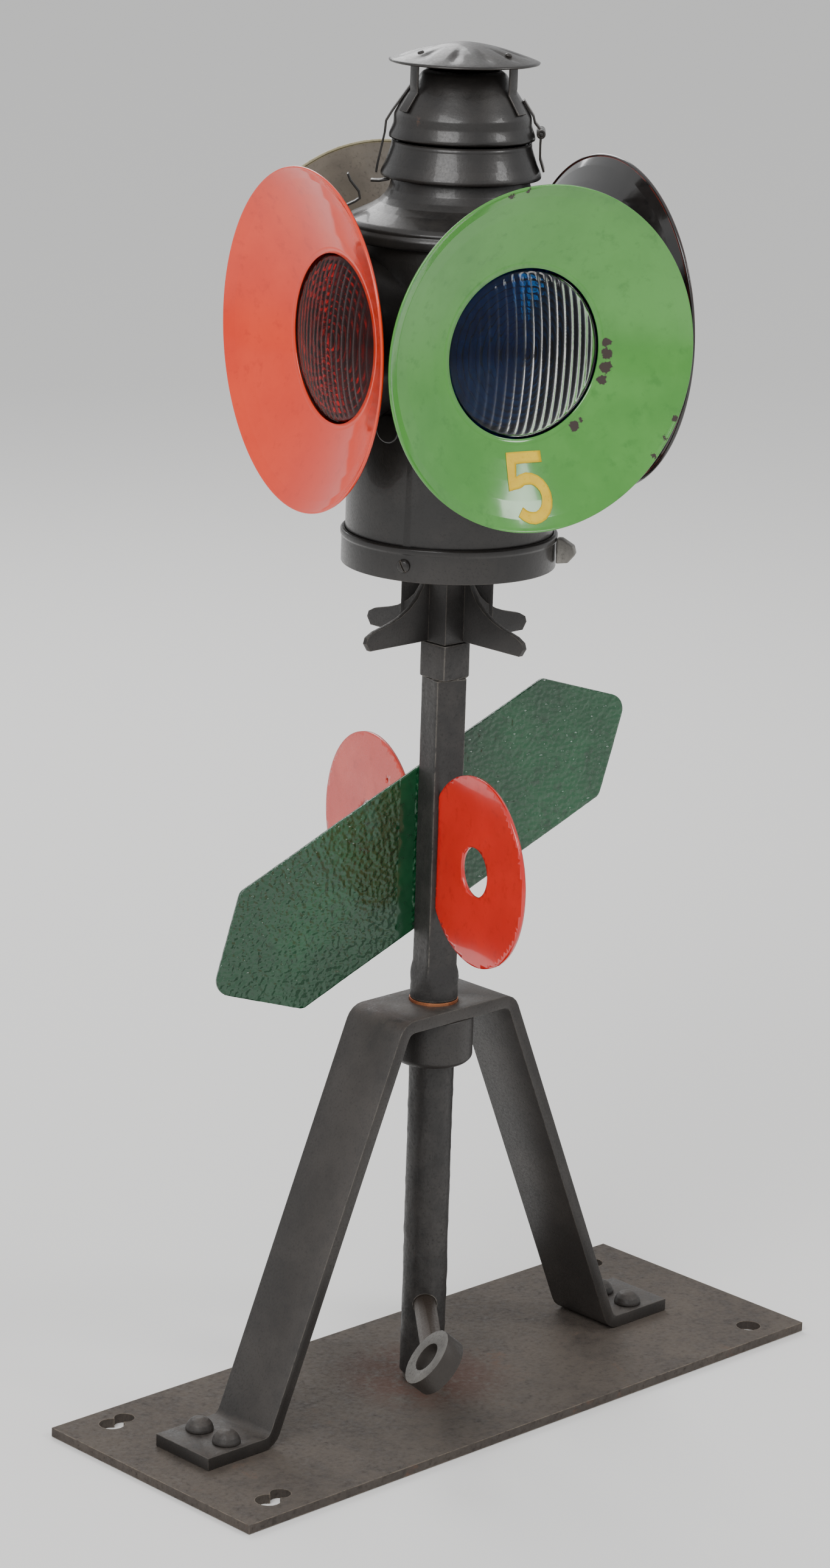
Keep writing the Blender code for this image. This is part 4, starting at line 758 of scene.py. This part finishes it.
def make_top():
    shoulder = [(0.0781, 0.9159), (0.0850, 0.9159), (0.0857, 0.9172), (0.0857, 0.9218), (0.0846, 0.9236),
                (0.0838, 0.9250), (0.0842, 0.9268), (0.0815, 0.9296), (0.0760, 0.9322), (0.0670, 0.9366),
                (0.0600, 0.9410), (0.0556, 0.9455), (0.0522, 0.9510), (0.0512, 0.9550), (0.0489, 0.9650),
                (0.0489, 0.9850)]
    walled(piece(spun(shoulder, closed=False, soft=0.0008, steps=128), "shoulder_spun", "lamp", "shoulder",
                 sharp=60), 0.0015)
    band = [(0.0578, 0.9612), (0.0587, 0.9611), (0.0587, 0.9628), (0.0580, 0.9650), (0.0556, 0.9700),
            (0.0528, 0.9780), (0.0513, 0.9830), (0.0511, 0.9868)]
    walled(piece(spun(band, closed=False, soft=0.0005, steps=128), "neck_band_rolled", "lamp", "neck_band",
                 sharp=60), 0.0014)
    hood = [(0.0532, 0.9890), (0.0533, 0.9912), (0.0518, 0.9950), (0.0504, 0.9990), (0.0500, 1.0056),
            (0.0470, 1.0110), (0.0420, 1.0190), (0.0365, 1.0272), (0.0305, 1.0358), (0.0268, 1.0382)]
    bm = spun(hood, closed=False, soft=0.0010, steps=128)
    relief(bm, 0.0003, 4.0, 0.018)
    walled(piece(bm, "hood_raised", "lamp", "hood", sharp=60), 0.0015)
    cap = [(0.0, CAP_RIM + CAP_RISE)]
    cap += [(0.0565 * n / 16, CAP_RIM + CAP_RISE * (1 - (n / 16) ** 1.6)) for n in range(1, 16)]
    cap += [(0.0556, CAP_RIM + 0.0003)]
    bm = spun(cap, closed=False, steps=128)
    for vert in bm.verts:
        radius = vert.co.xy.length
        if radius > 0.018:
            angle = atan2(vert.co.y, vert.co.x)
            fold = max(0.0, cos(angle * 12 + 2.0 * sin(angle)))
            reach = max(0.0, 1 - abs(radius - 0.036) / 0.014)
            beaten = noise.noise(Vector((cos(angle) * 2.2, sin(angle) * 2.2, radius * 60)))
            vert.co.z -= 0.0014 * fold ** 2 * reach * (1 + 0.5 * beaten) + 0.0004 * max(0.0, beaten)
    walled(piece(bm, "rain_cap_beaten", "lamp", "rain_cap", sharp=60), 0.0011)
    rivet = [(0.0, -0.0004), (0.0026, -0.0004), (0.0024, 0.0007), (0.0014, 0.0013), (0.0, 0.0015)]
    for n in range(3):
        azimuth = radians(-59.6 + 120 * n)
        height = CAP_RIM + CAP_RISE * (1 - (0.037 / CAP_RADIUS) ** 1.6) + 0.0006
        slope = atan2(CAP_RISE * 1.6 * (0.037 / CAP_RADIUS) ** 0.6 / CAP_RADIUS, 1.0)
        place = radial(azimuth, 0.037, height) @ Matrix.Rotation(slope, 4, "Y")
        piece(spun(rivet, soft=0.0002, steps=24), f"cap_rivet_{n + 1}", "lamp", body="lid", place=place)
    for node in ("cap_strap_1", "cap_strap_2", "cap_strap_3", "hinge_leaf_upper", "hinge_leaf_lower",
                 "hinge_pin", "hasp", "hasp_staple", "catch_lever"):
        dressed(node, "lamp", 0.0004)


def make_inside():
    for node, finish in (("oil_fount", "brass"), ("burner", "brass"), ("wick_knob", "brass"),
                         ("filler_cap", "brass"), ("wick", "cotton")):
        frame["nodes"][node].material_slots[0].material = MATS[finish]


# ---------------------------------------------------------------- studio

def make_studio():
    yaw = radians(-44.1)
    pitch = radians(15.4)
    roll = radians(1.8)
    back = Vector((sin(yaw) * cos(pitch), -cos(yaw) * cos(pitch), sin(pitch)))
    right = Vector((cos(yaw), sin(yaw), 0.0))
    up = back.cross(right)
    level = cos(roll) * right + sin(roll) * up
    rise = -sin(roll) * right + cos(roll) * up
    data = bpy.data.cameras.new("camera")
    data.sensor_width = 36.0
    data.lens = 101.35
    data.clip_end = 50.0
    camera = bpy.data.objects.new("camera", data)
    bpy.context.collection.objects.link(camera)
    matrix = Matrix((level, rise, back)).transposed().to_4x4()
    matrix.translation = Vector((-2.2890, -2.3204, 1.3922)) + right * 0.0093
    camera.matrix_world = matrix
    bpy.context.scene.camera = camera

    bm = bmesh.new()
    bmesh.ops.create_grid(bm, x_segments=1, y_segments=1, size=40.0)
    mesh = bpy.data.meshes.new("floor")
    bm.to_mesh(mesh)
    bm.free()
    floor = bpy.data.objects.new("floor", mesh)
    floor.location.z = -0.0005
    bpy.context.collection.objects.link(floor)
    paper = bpy.data.materials.new("pale_floor")
    paper.use_nodes = True
    paper.node_tree.nodes["Principled BSDF"].inputs["Base Color"].default_value = shade("f1f0ee")
    paper.node_tree.nodes["Principled BSDF"].inputs["Roughness"].default_value = 0.9
    mesh.materials.append(paper)

    world = bpy.data.worlds.new("studio")
    world.use_nodes = True
    world.node_tree.nodes["Background"].inputs["Color"].default_value = shade("f4f5f6")
    world.node_tree.nodes["Background"].inputs["Strength"].default_value = 0.85
    bpy.context.scene.world = world
    for name, place, size, power in (("key", (-2.6, -1.0, 2.8), 1.8, 70.0),
                                     ("fill", (1.2, -2.6, 2.7), 0.9, 26.0),
                                     ("rim", (1.2, 2.4, 2.4), 1.6, 40.0)):
        light = bpy.data.lights.new(name, "AREA")
        light.size = size
        light.energy = power
        lamp = bpy.data.objects.new(name, light)
        lamp.location = place
        aim = Vector((0, 0, 0.55)) - Vector(place)
        lamp.rotation_euler = aim.to_track_quat("-Z", "Y").to_euler()
        bpy.context.collection.objects.link(lamp)


make_stand()
make_spindle()
make_crank()
make_board()
make_disc("red_disc_front", -1, -0.0075, 0.0134, 1.0, "disc")
make_disc("red_disc_rear", 1, -0.0190, 0.0167, 5.0, "disc_faded", (0.0267, 0.0430))
make_body(make_lamp_base())
make_lenses()
chip_enamel()
make_numeral()
make_top()
make_inside()
make_studio()
